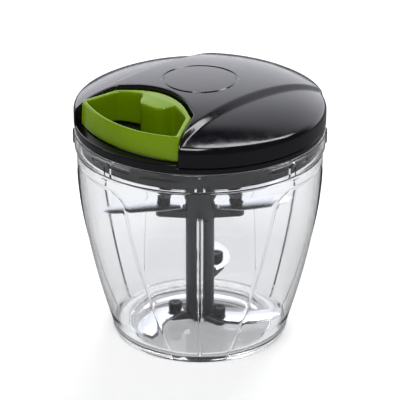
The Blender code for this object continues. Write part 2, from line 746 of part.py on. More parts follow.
def combine_object(obj, operation, tool):
    """Exact Boolean with an object that is used up."""
    bm = bmesh.new()
    bm.from_mesh(tool.data)
    bmesh.ops.scale(bm, vec=(1.0 / MM, 1.0 / MM, 1.0 / MM), verts=bm.verts)
    bmesh.ops.translate(bm, vec=tool.location / MM, verts=bm.verts)
    bpy.data.objects.remove(tool, do_unlink=True)
    return combine(obj, operation, bm)


def circle_bar(radius, length, sides=16):
    """Cylinder from the origin up Z."""
    return cylinder(0.0, 0.0, radius, 0.0, length, sides)


def along_y(z, bm, y):
    """Lay a Z-axis shape down so that it runs towards -Y from y at height z."""
    frame = Matrix.Translation((0.0, y, z)) @ Matrix.Rotation(math.pi / 2.0, 4, "X")
    bmesh.ops.transform(bm, matrix=frame, verts=bm.verts)
    return bm


def panel_section(side, y):
    """Cross-section at y of the room above one side panel and its slanted band."""
    bow = (y - PANEL_MIDDLE_Y) ** 2
    crest = PANEL_CREST_X + bow / PANEL_CREST_BOW
    foot = PANEL_FOOT_X + bow / PANEL_FOOT_BOW
    past_rim = 1.2 * LID_R
    section = [(crest, PAST_CROWN)]
    for share in (-0.4, 0.0, 1.0, 1.6):
        x = crest + (foot - crest) * share
        radius = min(math.hypot(x, y), LID_R)
        section.append((x, crown_height(radius) - PANEL_DROP * share))
    section[0] = (section[1][0], PAST_CROWN)
    section += [(past_rim, COVER_FOOT), (past_rim, PAST_CROWN)]
    return [(side * x, y, z) for x, z in section]


def side_panel_cutter(side):
    """Room above a lowered dome, beside the waist, that sinks one side panel."""
    stations = 16
    bm = bmesh.new()
    rings = []
    for station in range(stations + 1):
        y = LID_R * (-1.0 + 2.0 * station / stations)
        rings.append([bm.verts.new(point) for point in panel_section(side, y)])
    for first, second in zip(rings, rings[1:]):
        bridge(bm, first, second)
    bm.faces.new(rings[0])
    bm.faces.new(rings[-1])
    face_outward(bm)
    tool = finish("panel", bm, None)
    top = COVER_WALL_TOP - PANEL_DROP
    under = [(0.0, COVER_FOOT - 9.0), (LID_R + 20.0, COVER_FOOT - 9.0), (LID_R + 20.0, top - 5.0)]
    under += [(LID_R + 0.6, top - 1.0)] + dome_profile(PANEL_DROP)[1:]
    under += [(PLAIN_RING_R, crown_height(PLAIN_RING_R) - PANEL_DROP), (0.0, CROWN_Z - PANEL_DROP)]
    return combine(tool, "DIFFERENCE", lathe(under, RING_SIDES))


def build_base():
    """Lower half of the lid: flange, plate, skirt, seal groove, lock lugs and ledge."""
    plate_low = FLANGE_TOP - PLATE_THICK
    flange_low = BOWL_HEIGHT + 0.4
    seal_out = SKIRT_R + RUN_CLEAR + SEAL_WIDTH + CLEAR
    seal_top = BOWL_HEIGHT + CLEAR + SEAL_HEIGHT + CLEAR
    hub = SLEEVE_R + RUN_CLEAR
    skirt_in = SKIRT_R - SKIRT_WALL
    profile = [(hub, plate_low), (skirt_in, plate_low), (skirt_in, SKIRT_BOTTOM + 0.5),
               (skirt_in + 0.5, SKIRT_BOTTOM), (SKIRT_R - 0.5, SKIRT_BOTTOM), (SKIRT_R, SKIRT_BOTTOM + 0.5),
               (SKIRT_R, seal_top), (seal_out, seal_top), (seal_out, flange_low), (FLANGE_R, flange_low),
               (FLANGE_R, FLANGE_TOP - 0.4), (FLANGE_R - 0.4, FLANGE_TOP), (hub, FLANGE_TOP)]
    base = finish("lid_base", lathe(profile, RING_SIDES), ((0.13, 0.13, 0.14), 0.4), LID_ORIGIN)
    ledge = fan_loop(POCKET_SIDE_GAP - RUN_CLEAR, POCKET_BACK_GAP - RUN_CLEAR, 0.0, LEDGE_R, 0.0)
    rows = [(0.0, FLANGE_TOP - 1.0), (0.0, LEDGE_TOP - 0.3), (0.3, LEDGE_TOP)]
    combine(base, "UNION", prism([ledge], rows))
    for number in range(LOCK_COUNT):
        centre = 360.0 * number / LOCK_COUNT + LUG_REST_DEG
        low = TAB_BOTTOM - RUN_CLEAR - LUG_THICK
        lug = sector_prism(SKIRT_R - 0.8, SKIRT_R + LUG_REACH, low, low + LUG_THICK, centre, LUG_DEG)
        combine(base, "UNION", lug)
    for x, y in screw_places():
        combine(base, "DIFFERENCE", cylinder(x, y, SCREW_R + CLEAR, plate_low - 1.0, FLANGE_TOP + 1.0, 12))
    top = LEDGE_TOP - 0.1
    pointer = [(-POINTER_HALF, top), (0.0, top - POINTER_DROP), (POINTER_HALF, top)]
    bm = prism([pointer], [(0.0, 0.0), (0.0, 2.0), (0.4, 2.3)])
    frame = Matrix.Translation((0.0, 1.8 - LEDGE_R, 0.0)) @ Matrix.Rotation(math.pi / 2.0, 4, "X")
    bmesh.ops.transform(bm, matrix=frame, verts=bm.verts)
    combine(base, "UNION", bm)
    return base


def build_screws():
    """Screws from below through the plate into the cover's posts."""
    neck = SCREW_HEAD_Z + SCREW_HEAD
    for number, (x, y) in enumerate(screw_places(), 1):
        profile = [(0.0, SCREW_HEAD_Z + 0.9), (1.2, SCREW_HEAD_Z), (SCREW_HEAD_R - 0.4, SCREW_HEAD_Z),
                   (SCREW_HEAD_R, SCREW_HEAD_Z + 0.4), (SCREW_HEAD_R, neck), (SCREW_R, neck),
                   (SCREW_R, neck + SCREW_LENGTH - 1.5), (0.0, neck + SCREW_LENGTH)]
        bm = lathe(profile, 12)
        bmesh.ops.translate(bm, vec=(x, y, 0.0), verts=bm.verts)
        finish("lid_screw_%d" % number, bm, ((0.65, 0.66, 0.68), 0.35, 1.0), LID_ORIGIN)


def build_cup():
    """Housing of the recoil spring, standing on the plate."""
    low = FLANGE_TOP + CLEAR
    top = SPOOL_LOW - RUN_CLEAR
    hub = SLEEVE_R + RUN_CLEAR
    inner = CUP_R - CUP_WALL
    profile = [(hub, low), (CUP_R, low), (CUP_R, top), (inner, top), (inner, low + CUP_FLOOR),
               (hub, low + CUP_FLOOR)]
    finish("spring_cup", lathe(profile, INNER_SIDES), ((0.30, 0.30, 0.32), 0.5), LID_ORIGIN)


def build_axle():
    """Steel axle held in the cover's boss."""
    low = SOCKET_TOP + AXLE_SEAT + CLEAR
    profile = [(0.0, low), (AXLE_R - 0.4, low), (AXLE_R, low + 0.5), (AXLE_R, AXLE_TOP), (0.0, AXLE_TOP)]
    finish("spool_axle", lathe(profile, 16), ((0.72, 0.73, 0.75), 0.3, 1.0), LID_ORIGIN)


def build_eyelet():
    """Cord guide through the back wall of the pocket."""
    back = back_edge(BACK_FLAT_SHARE * HANDLE_BACK_CORNER[0], POCKET_BACK_GAP)
    bore = CORD_R + RUN_CLEAR
    start = 0.6 - POCKET_WALL
    flange = CLEAR
    profile = [(bore, start), (EYELET_R, start), (EYELET_R, flange), (EYELET_R + 1.2, flange),
               (EYELET_R + 1.2, flange + 0.5), (bore + 0.3, flange + 0.6), (bore, flange + 0.3)]
    bm = lathe(profile, 16)
    finish("cord_eyelet", along_y(CORD_Z, bm, back), ((0.70, 0.71, 0.73), 0.3, 1.0), LID_ORIGIN)


def handle_top(point):
    """Top face of the handle, which falls towards the front."""
    return HANDLE_BOTTOM + HANDLE_BACK_HEIGHT + HANDLE_TOP_SLOPE * (point[1] - HANDLE_BACK_Y)


def inner_back(x):
    """Back of the finger opening beside the boss."""
    return HANDLE_BACK_Y - HANDLE_BACK_WALL - x * x / HANDLE_INNER_BOW


def finger_loop():
    """Finger opening with the knot boss bulging into it, clockwise."""
    gap = -HANDLE_WALL
    centre_y = HANDLE_FRONT_Y + HANDLE_FRONT_R
    radius = HANDLE_FRONT_R - HANDLE_FRONT_WALL
    corner_x = side_x(HANDLE_BACK_CORNER[1], gap)
    corner_y = inner_back(corner_x)
    front_x, front_y = side_meets_front(centre_y, radius, gap)
    middle_x = (BOSS_ROOT + corner_x) / 2.0
    right = [(BOSS_HALF, HANDLE_BACK_Y - BOSS_DEPTH, 4.5), (BOSS_ROOT, inner_back(BOSS_ROOT), 4.0),
             (middle_x, inner_back(middle_x), 0.0), (corner_x, corner_y, 4.5), (front_x, front_y, 2.0)]
    arc = front_arc(centre_y, radius, gap)
    left = [(-x, y, r) for x, y, r in reversed(right)]
    return round_loop(right + arc[::-1] + left)


def lean_front(bm):
    """Lean the handle's front wall back, more the nearer a point is to the front."""
    reach = HANDLE_BACK_CORNER[1] - HANDLE_FRONT_Y
    for vert in bm.verts:
        share = min(max((HANDLE_BACK_CORNER[1] - vert.co.y) / reach, 0.0), 1.0)
        vert.co.y += HANDLE_DRAFT * (vert.co.z - HANDLE_BOTTOM) * share ** 2


def build_handle():
    """Fan-shaped ring handle with rounded edges and a boss for the knot."""
    edge = HANDLE_EDGE
    bottom = HANDLE_BOTTOM

    def top_less(amount):
        return lambda point: handle_top(point) - amount

    rows = [(edge, bottom), (edge * 0.3, bottom + edge * 0.3), (0.0, bottom + edge),
            (0.0, top_less(edge)), (edge * 0.3, top_less(edge * 0.3)), (edge, top_less(0.0))]
    outer = fan_loop(0.0, 0.0, HANDLE_FRONT_Y + HANDLE_FRONT_R, HANDLE_FRONT_R, HANDLE_FRONT_CORNER)
    bm = prism([outer, finger_loop()], rows)
    lean_front(bm)
    handle = finish("pull_handle", bm, ((0.51, 0.65, 0.08), 0.25), HANDLE_ORIGIN)
    roof = CORD_Z + KNOT_R + 2.0 * KNOT_GAP
    recess = cylinder(0.0, KNOT_Y, KNOT_R + KNOT_GAP, HANDLE_BOTTOM - 1.0, roof, 20)
    bar = circle_bar(CORD_R + RUN_CLEAR, HANDLE_BACK_Y - KNOT_Y + 1.0, 12)
    combine(handle, "DIFFERENCE", recess, along_y(CORD_Z, bar, HANDLE_BACK_Y + 1.0))
    return handle


def build_knot():
    """Knot, and the plug that closes its recess."""
    bm = bmesh.new()
    bmesh.ops.create_uvsphere(bm, u_segments=14, v_segments=8, radius=KNOT_R)
    bmesh.ops.scale(bm, vec=(1.0, 0.95, 1.1), verts=bm.verts)
    bmesh.ops.translate(bm, vec=(0.0, KNOT_Y, CORD_Z), verts=bm.verts)
    finish("cord_knot", bm, ((0.85, 0.85, 0.83), 0.8), HANDLE_ORIGIN)
    radius = KNOT_R + KNOT_GAP - CLEAR
    low = HANDLE_BOTTOM + 0.2
    top = low + 1.6
    profile = [(0.0, low), (radius - 0.3, low), (radius, low + 0.3), (radius, top), (0.0, top)]
    bm = lathe(profile, 20)
    bmesh.ops.translate(bm, vec=(0.0, KNOT_Y, 0.0), verts=bm.verts)
    finish("knot_plug", bm, ((0.45, 0.58, 0.08), 0.35), HANDLE_ORIGIN)


def build_cord():
    """Cord from the winding, through the eyelet, to the knot."""
    lay_r = WOUND_R + CORD_R + CLEAR
    turn_y = HANDLE_BACK_Y + POCKET_BACK_GAP + POCKET_WALL + CORD_R + CLEAR
    angle = math.acos(lay_r / abs(turn_y))
    start = Vector((lay_r * math.sin(angle), -lay_r * math.cos(angle), CORD_Z))
    turn = Vector((0.0, turn_y, CORD_Z))
    end_y = KNOT_Y + KNOT_R * 0.95 + CLEAR
    route = [start, start.lerp(turn, 0.45), start.lerp(turn, 0.85), turn + Vector((0.1, -0.3, 0.0))]
    steps = 7
    for step in range(1, steps + 1):
        route.append(Vector((0.0, turn_y + (end_y - turn_y) * (0.1 + 0.9 * step / steps), CORD_Z)))
    curve = bpy.data.curves.new("cord_run", "CURVE")
    curve.dimensions = "3D"
    curve.bevel_depth = CORD_R * MM
    curve.bevel_resolution = 2
    curve.use_fill_caps = True
    spline = curve.splines.new("POLY")
    spline.points.add(len(route) - 1)
    for point, place in zip(spline.points, route):
        point.co = (*((place - Vector(HANDLE_ORIGIN)) * MM), 1.0)
    cord = bpy.data.objects.new("cord_run", curve)
    bpy.context.scene.collection.objects.link(cord)
    cord.location = Vector(HANDLE_ORIGIN) * MM
    curve.materials.append(make_material("cord_run", (0.88, 0.88, 0.86), 0.8))


def build_spool():
    """Spool with its drive sleeve, axle bore and two drive dogs."""
    groove = SPOOL_LOW + SPOOL_FLANGE
    upper = groove + GROOVE_HEIGHT
    top_face = upper + SPOOL_FLANGE
    socket_r = SLEEVE_R - SLEEVE_WALL
    bore = AXLE_R + RUN_CLEAR
    hub = bore + 3.0
    profile = [(0.0, SOCKET_TOP), (socket_r, SOCKET_TOP), (socket_r, SLEEVE_BOTTOM), (SLEEVE_R, SLEEVE_BOTTOM),
               (SLEEVE_R, SPOOL_LOW), (SPOOL_R, SPOOL_LOW), (SPOOL_R, groove), (DRUM_R, groove),
               (DRUM_R, upper), (SPOOL_R, upper), (SPOOL_R, top_face), (hub + 0.6, top_face),
               (hub, SPOOL_TOP), (bore, SPOOL_TOP), (bore, SOCKET_TOP + AXLE_SEAT),
               (0.0, SOCKET_TOP + AXLE_SEAT)]
    spool = finish("cord_spool", lathe(profile, INNER_SIDES), ((0.80, 0.80, 0.78), 0.45), (0.0, 0.0, CORD_Z))
    low = SLEEVE_BOTTOM + 0.4
    high = SOCKET_TOP + 0.5
    for number in range(2):
        azimuth = RIB_FIRST_DEG + DOG_OFFSET_DEG + 180.0 * number
        dog = sector_prism(HEAD_R + RUN_CLEAR, socket_r + 0.6, low, high, azimuth, DOG_DEG, 4)
        combine(spool, "UNION", dog)


def build_winding():
    """Cord wound on the spool, as a ribbed ring."""
    low = SPOOL_LOW + SPOOL_FLANGE + CLEAR
    turns = 3
    pitch = (GROOVE_HEIGHT - 2.0 * CLEAR) / turns
    profile = [(DRUM_R + CLEAR, low)]
    for turn in range(turns):
        for share in (0.1, 0.5, 0.9):
            bulge = CORD_R * math.sin(math.pi * share)
            profile.append((WOUND_R - CORD_R + bulge, low + pitch * (turn + share)))
    profile.append((DRUM_R + CLEAR, low + pitch * turns))
    finish("cord_winding", lathe(profile, INNER_SIDES), ((0.88, 0.88, 0.86), 0.8), (0.0, 0.0, CORD_Z))


def build_spring():
    """Flat spiral spring between the spool's hub and the cup."""
    low = FLANGE_TOP + CLEAR + CUP_FLOOR + CLEAR
    inner = SLEEVE_R + 0.6
    outer = CUP_R - CUP_WALL - SPRING_STRIP - 0.5
    high = low + SPRING_HEIGHT
    steps = SPRING_TURNS * 16
    bm = bmesh.new()
    rings = []
    for step in range(steps + 1):
        angle = 2.0 * math.pi * SPRING_TURNS * step / steps
        radius = inner + (outer - inner) * step / steps
        ring = []
        for offset, z in ((0.0, low), (SPRING_STRIP, low), (SPRING_STRIP, high), (0.0, high)):
            reach = radius + offset
            ring.append(bm.verts.new((reach * math.cos(angle), reach * math.sin(angle), z)))
        rings.append(ring)
    for first, second in zip(rings, rings[1:]):
        bridge(bm, first, second)
    bm.faces.new(rings[0])
    bm.faces.new(rings[-1])
    face_outward(bm)
    finish("recoil_spring", bm, ((0.55, 0.56, 0.58), 0.3, 1.0), (0.0, 0.0, CORD_Z))


def blade_base(under, thick):
    """Underside of a blade that lies on its arm."""
    return under + thick + CLEAR


def add_arm(shaft, hub_r, blade):
    """Arm with a post for the blade, joined to its shaft."""
    _, under, thick, azimuth, mount_r, _, _ = blade
    half = ARM_WIDTH / 2.0
    start = hub_r - 1.7
    end = mount_r + ARM_PAST_POST
    corners = [(start, -half, 0.0), (end, -half * 0.8, 3.0), (end, half * 0.8, 3.0), (start, half, 0.0)]
    turn = Matrix.Rotation(math.radians(azimuth - 90.0), 4, "Z")
    arm = prism([round_loop(corners, 3)], [(0.0, under), (0.0, under + thick - 0.4), (0.4, under + thick)])
    top = blade_base(under, thick) + BLADE_THICK + CLEAR + POST_RISE
    post = cylinder(mount_r, 0.0, POST_BLADE_R, under + thick * 0.5, top, 14)
    for bm in (arm, post):
        bmesh.ops.transform(bm, matrix=turn, verts=bm.verts)
        combine(shaft, "UNION", bm)


def build_lower_shaft():
    """Lower shaft: hollow foot over the pin, spigot on top and three blade arms."""
    bush_r = PIN_R + RUN_CLEAR + BUSH_WALL + CLEAR
    step = BOSS_TOP + 0.4
    top = SHAFT_SPLIT - CLEAR / 2.0
    spigot_top = top + SPIGOT_LENGTH
    profile = [(0.0, PIN_TOP + 1.0), (PIN_R + RUN_CLEAR, PIN_TOP + 1.0), (PIN_R + RUN_CLEAR, BUSH_TOP + CLEAR),
               (bush_r, BUSH_TOP + CLEAR), (bush_r, step + 0.4), (SHAFT_BORE_R, step), (SHAFT_BORE_R, SHAFT_BOTTOM),
               (SHAFT_R - 0.5, SHAFT_BOTTOM), (SHAFT_R, SHAFT_BOTTOM + 0.5), (SHAFT_R, top), (SPIGOT_R, top),
               (SPIGOT_R, spigot_top - 0.6), (SPIGOT_R - 0.6, spigot_top), (0.0, spigot_top)]
    shaft = finish("lower_shaft", lathe(profile, SHAFT_SIDES), ((0.27, 0.27, 0.30), 0.45))
    for blade in BLADES:
        if blade[1] < SHAFT_SPLIT:
            add_arm(shaft, SHAFT_R, blade)


def build_upper_shaft():
    """Upper shaft: socket over the spigot, two blade arms and the drive head."""
    low = SHAFT_SPLIT + CLEAR / 2.0
    socket = SPIGOT_R + CLEAR
    roof = SHAFT_SPLIT + SPIGOT_LENGTH + CLEAR
    profile = [(0.0, roof), (socket, roof), (socket, low), (COLLAR_R - 0.4, low), (COLLAR_R, low + 0.4),
               (COLLAR_R, COLLAR_TOP - 0.6), (COLLAR_R - 0.6, COLLAR_TOP), (HEAD_R, COLLAR_TOP),
               (HEAD_R, HEAD_TOP - 0.8), (HEAD_R - 0.8, HEAD_TOP), (0.0, HEAD_TOP)]
    shaft = finish("upper_shaft", lathe(profile, SHAFT_SIDES), ((0.30, 0.30, 0.33), 0.45))
    for blade in BLADES:
        if blade[1] > SHAFT_SPLIT:
            add_arm(shaft, COLLAR_R, blade)
    reach = SLEEVE_R - SLEEVE_WALL - RUN_CLEAR
    for number in range(2):
        azimuth = RIB_FIRST_DEG + 180.0 * number
        tab = sector_prism(HEAD_R - 0.8, reach, COLLAR_TOP + 1.6, HEAD_TOP - 0.4, azimuth, TAB_DRIVE_DEG, 4)
        combine(shaft, "UNION", tab)


def build_bush():
    """Bearing bush round the pin."""
    inner = PIN_R + RUN_CLEAR
    low = BOSS_TOP + RUN_CLEAR + 0.1
    profile = [(inner, low), (inner + BUSH_WALL, low), (inner + BUSH_WALL, BUSH_TOP), (inner, BUSH_TOP)]
    finish("shaft_bush", lathe(profile, 24), ((0.75, 0.55, 0.30), 0.4, 0.8))


def blade_centre(radius, blade):
    """Point of a blade's centre line at a radius."""
    _, _, _, azimuth, mount_r, tip_r, sweep = blade
    share = max(0.0, (radius - BLADE_ROOT_R) / (tip_r - BLADE_ROOT_R))
    return Vector(polar(radius, azimuth + sweep * (share ** 1.3 - mount_share(blade))))


def mount_share(blade):
    """Share of the sweep already turned at the mount, so that the hole is on the arm."""
    share = (blade[4] - BLADE_ROOT_R) / (blade[5] - BLADE_ROOT_R)
    return share ** 1.3


def blade_outline(blade):
    """Sickle outline of a blade, counter-clockwise."""
    tip_r = blade[5]
    stations = 8
    left = []
    right = []
    for station in range(stations + 1):
        share = station / stations
        radius = BLADE_ROOT_R + (tip_r - 1.5 - BLADE_ROOT_R) * share
        here = blade_centre(radius, blade)
        ahead = blade_centre(radius + 0.5, blade) - here
        normal = Vector((-ahead.y, ahead.x)).normalized()
        growth = min(1.0, 0.62 + 1.3 * share)
        taper = math.sqrt(max(0.0, 1.0 - max(0.0, (share - 0.62) / 0.42) ** 2))
        half = BLADE_WIDTH / 2.0 * growth * taper
        left.append(here + normal * half)
        right.append(here - normal * half)
    tip = blade_centre(tip_r, blade)
    loop = [tuple(point) for point in right] + [tuple(tip)] + [tuple(point) for point in reversed(left)]
    return trim_to_radius(loop, tip_r)


def trim_to_radius(loop, radius):
    """Keep an outline inside the circle that the tips sweep."""
    kept = []
    for x, y in loop:
        reach = math.hypot(x, y)
        scale = min(1.0, radius / reach)
        kept.append((x * scale, y * scale))
    return kept


def build_blade(blade):
    """Flat steel blade with ground edges and a hole for its post, and its cap."""
    name, under, thick, azimuth, mount_r, _, _ = blade
    low = blade_base(under, thick)
    x, y = polar(mount_r, azimuth)
    hole = circle_loop(x, y, POST_BLADE_R + CLEAR, 14, clockwise=True)
    rows = [(0.0, low), (0.0, low + BLADE_THICK * 0.4), (0.5, low + BLADE_THICK)]
    bm = prism([blade_outline(blade), hole], rows)
    finish("blade_" + name, bm, ((0.80, 0.81, 0.83), 0.22, 1.0), sharp=20.0)
    cap_low = low + BLADE_THICK + CLEAR
    cap_top = cap_low + CAP_HEIGHT
    roof = cap_low + POST_RISE + CLEAR
    bore = POST_BLADE_R + CLEAR
    profile = [(0.0, roof), (bore, roof), (bore, cap_low), (CAP_R, cap_low), (CAP_R, cap_top - 0.6),
               (CAP_R - 0.6, cap_top), (0.0, cap_top)]
    bm = lathe(profile, 12)
    bmesh.ops.translate(bm, vec=(x, y, 0.0), verts=bm.verts)
    finish("blade_cap_" + name, bm, ((0.25, 0.25, 0.28), 0.45))


def main():
    """Build every piece."""
    remove_everything()
    build_bowl()
    build_pin()
    build_seal()
    build_cover()
    build_base()
    build_screws()
    build_cup()
    build_axle()
    build_eyelet()
    build_handle()
    build_knot()
    build_cord()
    build_spool()
    build_winding()
    build_spring()
    build_lower_shaft()
    build_upper_shaft()
    build_bush()
    for blade in BLADES:
        build_blade(blade)


main()
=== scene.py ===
# %% [markdown]
# # A manual food chopper, dressed for its picture
#
# The part was first made as plain solids and packed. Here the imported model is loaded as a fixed
# frame: every solid already stands where it belongs, and each one belongs to a body that moves
# as one piece, such as the lid or the blade shaft. This lesson gives those bodies their looks.
# The real thing is smoother and richer than the plain solids, so for each of them a new piece is
# built in the same place, and the plain solid is put out of sight.
#
# All sizes in the lesson are in millimetres and become metres when a mesh is finished. Azimuths
# are in degrees, from the side that the handle is pulled to (-Y) towards +X.

# %% Load the frame
import math
from collections import namedtuple

import bmesh
import bpy
import numpy
from mathutils import Matrix, Vector, geometry, kdtree


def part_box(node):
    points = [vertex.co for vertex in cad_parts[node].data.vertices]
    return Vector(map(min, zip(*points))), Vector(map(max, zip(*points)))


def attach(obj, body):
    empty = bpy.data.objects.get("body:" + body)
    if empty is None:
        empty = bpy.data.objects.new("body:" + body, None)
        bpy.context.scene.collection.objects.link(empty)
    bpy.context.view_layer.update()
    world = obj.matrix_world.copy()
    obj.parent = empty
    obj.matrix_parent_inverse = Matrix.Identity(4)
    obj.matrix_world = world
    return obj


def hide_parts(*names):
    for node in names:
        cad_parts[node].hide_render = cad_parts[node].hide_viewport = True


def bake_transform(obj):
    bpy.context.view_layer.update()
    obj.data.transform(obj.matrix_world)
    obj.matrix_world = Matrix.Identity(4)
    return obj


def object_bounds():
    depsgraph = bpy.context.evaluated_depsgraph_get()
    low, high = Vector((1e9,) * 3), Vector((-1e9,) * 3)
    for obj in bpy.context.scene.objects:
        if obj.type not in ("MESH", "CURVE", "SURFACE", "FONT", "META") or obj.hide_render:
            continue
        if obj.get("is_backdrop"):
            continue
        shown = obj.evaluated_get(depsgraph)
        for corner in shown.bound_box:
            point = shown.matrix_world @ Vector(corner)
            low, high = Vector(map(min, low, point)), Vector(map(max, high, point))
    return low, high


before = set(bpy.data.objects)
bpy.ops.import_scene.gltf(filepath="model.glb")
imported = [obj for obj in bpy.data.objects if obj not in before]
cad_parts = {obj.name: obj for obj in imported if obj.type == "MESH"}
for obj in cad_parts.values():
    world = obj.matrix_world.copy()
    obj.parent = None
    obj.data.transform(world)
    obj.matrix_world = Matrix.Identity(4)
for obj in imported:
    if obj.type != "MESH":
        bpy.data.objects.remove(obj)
MM = 0.001
cad_box = [list(corner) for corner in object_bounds()]
print("CAD box in mm:", [[round(value / MM, 1) for value in corner] for corner in cad_box])

# %% [markdown]
# ## The camera
#
# A picture of a round bowl tells where the camera stood: the ellipse of the rim gives how far it
# looked down, and the ellipse of the foot, a little rounder, gives how near it was. Both were
# worked out first. A long lens is used, as in a product studio, which keeps the sides of the bowl
# almost straight.

# %% Place the camera
CAMERA_DISTANCE = 1000.0   # along the floor, from the bowl's axis
CAMERA_HEIGHT = 527.693
CAMERA_TURN = 45.0         # azimuth of the camera
CAMERA_LOOK_DOWN = 24.417
CAMERA_LENS = 184.19

camera_data = bpy.data.cameras.new("camera")
camera_data.lens = CAMERA_LENS
camera_data.sensor_width = 36.0
camera_data.clip_start = 0.05
camera_data.clip_end = 20.0
camera = bpy.data.objects.new("camera", camera_data)
bpy.context.scene.collection.objects.link(camera)
turn = math.radians(CAMERA_TURN)
toward_camera = Vector((math.sin(turn), -math.cos(turn), 0.0))
camera.location = (toward_camera * CAMERA_DISTANCE + Vector((0.0, 0.0, CAMERA_HEIGHT))) * MM
camera.rotation_euler = (math.radians(90.0 - CAMERA_LOOK_DOWN), 0.0, turn)
bpy.context.scene.camera = camera
print("camera: %.0f mm away, looks down %.1f degrees" % (CAMERA_DISTANCE, CAMERA_LOOK_DOWN))

# %% [markdown]
# ## The studio
#
# Clear and glossy plastic show little of their own: they show the room. A product studio for such
# things has a white sweep under and behind the object, and it is dark on the side where the
# camera stands. The dark side gives black bands on the lid's shoulder and dark edges in the clear
# bowl, and those are what tell the eye that the surface is polished.
#
# The room is made in two ways. Lamps with a size give the soft key light and the thin highlights
# along the edges. The world gives the rest: its colour depends only on the direction, bright
# towards the sweep and dark behind the camera and overhead. That is a room, not paint, so it
# stays right from every side.

# %% Node helpers
def link_value(tree, socket, value):
    """Set a socket to a plain value, or link a socket or a node's first output to it."""
    if isinstance(value, bpy.types.Node):
        value = value.outputs[0]
    if isinstance(value, bpy.types.NodeSocket):
        tree.links.new(value, socket)
    else:
        socket.default_value = value


def add_node(tree, kind, inputs=(), **settings):
    """Add a node, set its options and fill its inputs by name or number."""
    node = tree.nodes.new(kind)
    for name, value in settings.items():
        setattr(node, name, value)
    for name, value in dict(inputs).items():
        link_value(tree, node.inputs[name], value)
    return node


def math_node(tree, operation, *values):
    """One step of arithmetic; returns the socket with the result."""
    return add_node(tree, "ShaderNodeMath", dict(enumerate(values)), operation=operation).outputs[0]


def ease_node(tree, value, low, high, start, end):
    """Smooth step of a value from low..high to start..end."""
    inputs = {"Value": value, "From Min": low, "From Max": high, "To Min": start, "To Max": end}
    ramp = add_node(tree, "ShaderNodeMapRange", inputs, interpolation_type="SMOOTHSTEP")
    return ramp.outputs["Result"]


# %% Light the room
SWEEP_LIGHT = 1.9                   # brightness of the sweep in reflections
ROOM_LIGHT = 0.05                   # brightness of the dark room behind the camera
SWEEP_START = (0.25, 0.68)          # how far a ray points away from the camera: dark, then bright
SWEEP_FADE = (0.25, 0.76, 1.0, 0.6)     # the sweep gets a little darker with height
CEILING = (0.76, 0.90, 1.0, 0.06)       # and ends under a dark ceiling
SOFT_SHARE = 0.24                   # share of the sweep that lights the object
SOFT_FLOOR = 0.12                   # even light from all sides
ROOM_TINT = (0.96, 0.965, 1.03, 1.0)
LAMP_AIM = 0.08                     # metres above the floor, the middle of the object

scene = bpy.context.scene
scene.view_settings.view_transform = "Standard"
world = bpy.data.worlds.new("studio")
scene.world = world
world.use_nodes = True
sky = world.node_tree
direction = add_node(sky, "ShaderNodeTexCoord").outputs["Generated"]
away = add_node(sky, "ShaderNodeVectorMath", {0: direction, 1: tuple(-toward_camera)},
                operation="DOT_PRODUCT")
height = add_node(sky, "ShaderNodeSeparateXYZ", {0: direction}).outputs["Z"]
sweep = ease_node(sky, away.outputs["Value"], *SWEEP_START, ROOM_LIGHT, SWEEP_LIGHT)
fading = ease_node(sky, height, *SWEEP_FADE)
ceiling = ease_node(sky, height, *CEILING)
level = math_node(sky, "MULTIPLY", sweep, math_node(sky, "MULTIPLY", fading, ceiling))
ways = add_node(sky, "ShaderNodeLightPath")
plain_ray = math_node(sky, "MAXIMUM", ways.outputs["Is Glossy Ray"],
                      ways.outputs["Is Transmission Ray"])
soft = math_node(sky, "MULTIPLY_ADD", level, SOFT_SHARE, SOFT_FLOOR)
strength = add_node(sky, "ShaderNodeMix", {"Factor": plain_ray, "A": soft, "B": level},
                    data_type="FLOAT")
back = sky.nodes["Background"]
link_value(sky, back.inputs["Strength"], strength)
back.inputs["Color"].default_value = ROOM_TINT


def add_lamp(name, azimuth, rise, distance, size, power):
    """Flat lamp that looks at the middle of the object; angles in degrees, sizes in metres."""
    data = bpy.data.lights.new(name, "AREA")
    data.shape = "RECTANGLE"
    data.size = size[0]
    data.size_y = size[1]
    data.energy = power
    lamp = bpy.data.objects.new(name, data)
    scene.collection.objects.link(lamp)
    azimuth = math.radians(azimuth)
    rise = math.radians(rise)
    flat = distance * math.cos(rise)
    lamp.location = (flat * math.sin(azimuth), -flat * math.cos(azimuth),
                     LAMP_AIM + distance * math.sin(rise))
    look = Vector((0.0, 0.0, LAMP_AIM)) - lamp.location
    lamp.rotation_euler = look.to_track_quat("-Z", "Y").to_euler()
    return lamp


add_lamp("key_lamp", CAMERA_TURN - 15.0, 62.0, 1.5, (0.5, 0.5), 8.0)
back_lamp = add_lamp("back_lamp", CAMERA_TURN + 165.0, 48.0, 1.6, (1.1, 0.5), 16.0)
back_lamp.visible_glossy = False    # it lights the back, and the sweep gives the reflections
top_lamp = add_lamp("top_lamp", CAMERA_TURN + 100.0, 65.0, 1.3, (0.3, 1.3), 13.0)
top_lamp.visible_diffuse = False    # it only draws the thin bright line along rounded edges

# %% [markdown]
# ## The floor
#
# The sweep is a plain white sheet. A white sheet that is only lit never gets quite white, and more
# light would wash out the object. So the sheet also glows: fully for rays that come straight from
# the camera, from a mirror or through glass, and about half as much for the light that reaches the
# object from below. The shadow under the bowl stays, because there the lit share of the sheet is
# still missing.
#
# In a studio, black cards stand just outside the picture, so that upright glossy walls mirror
# something dark. Here the sheet looks darker to a ray that has been mirrored once: much darker
# where it comes from the lid or the handle, a little where it comes out of the clear bowl.

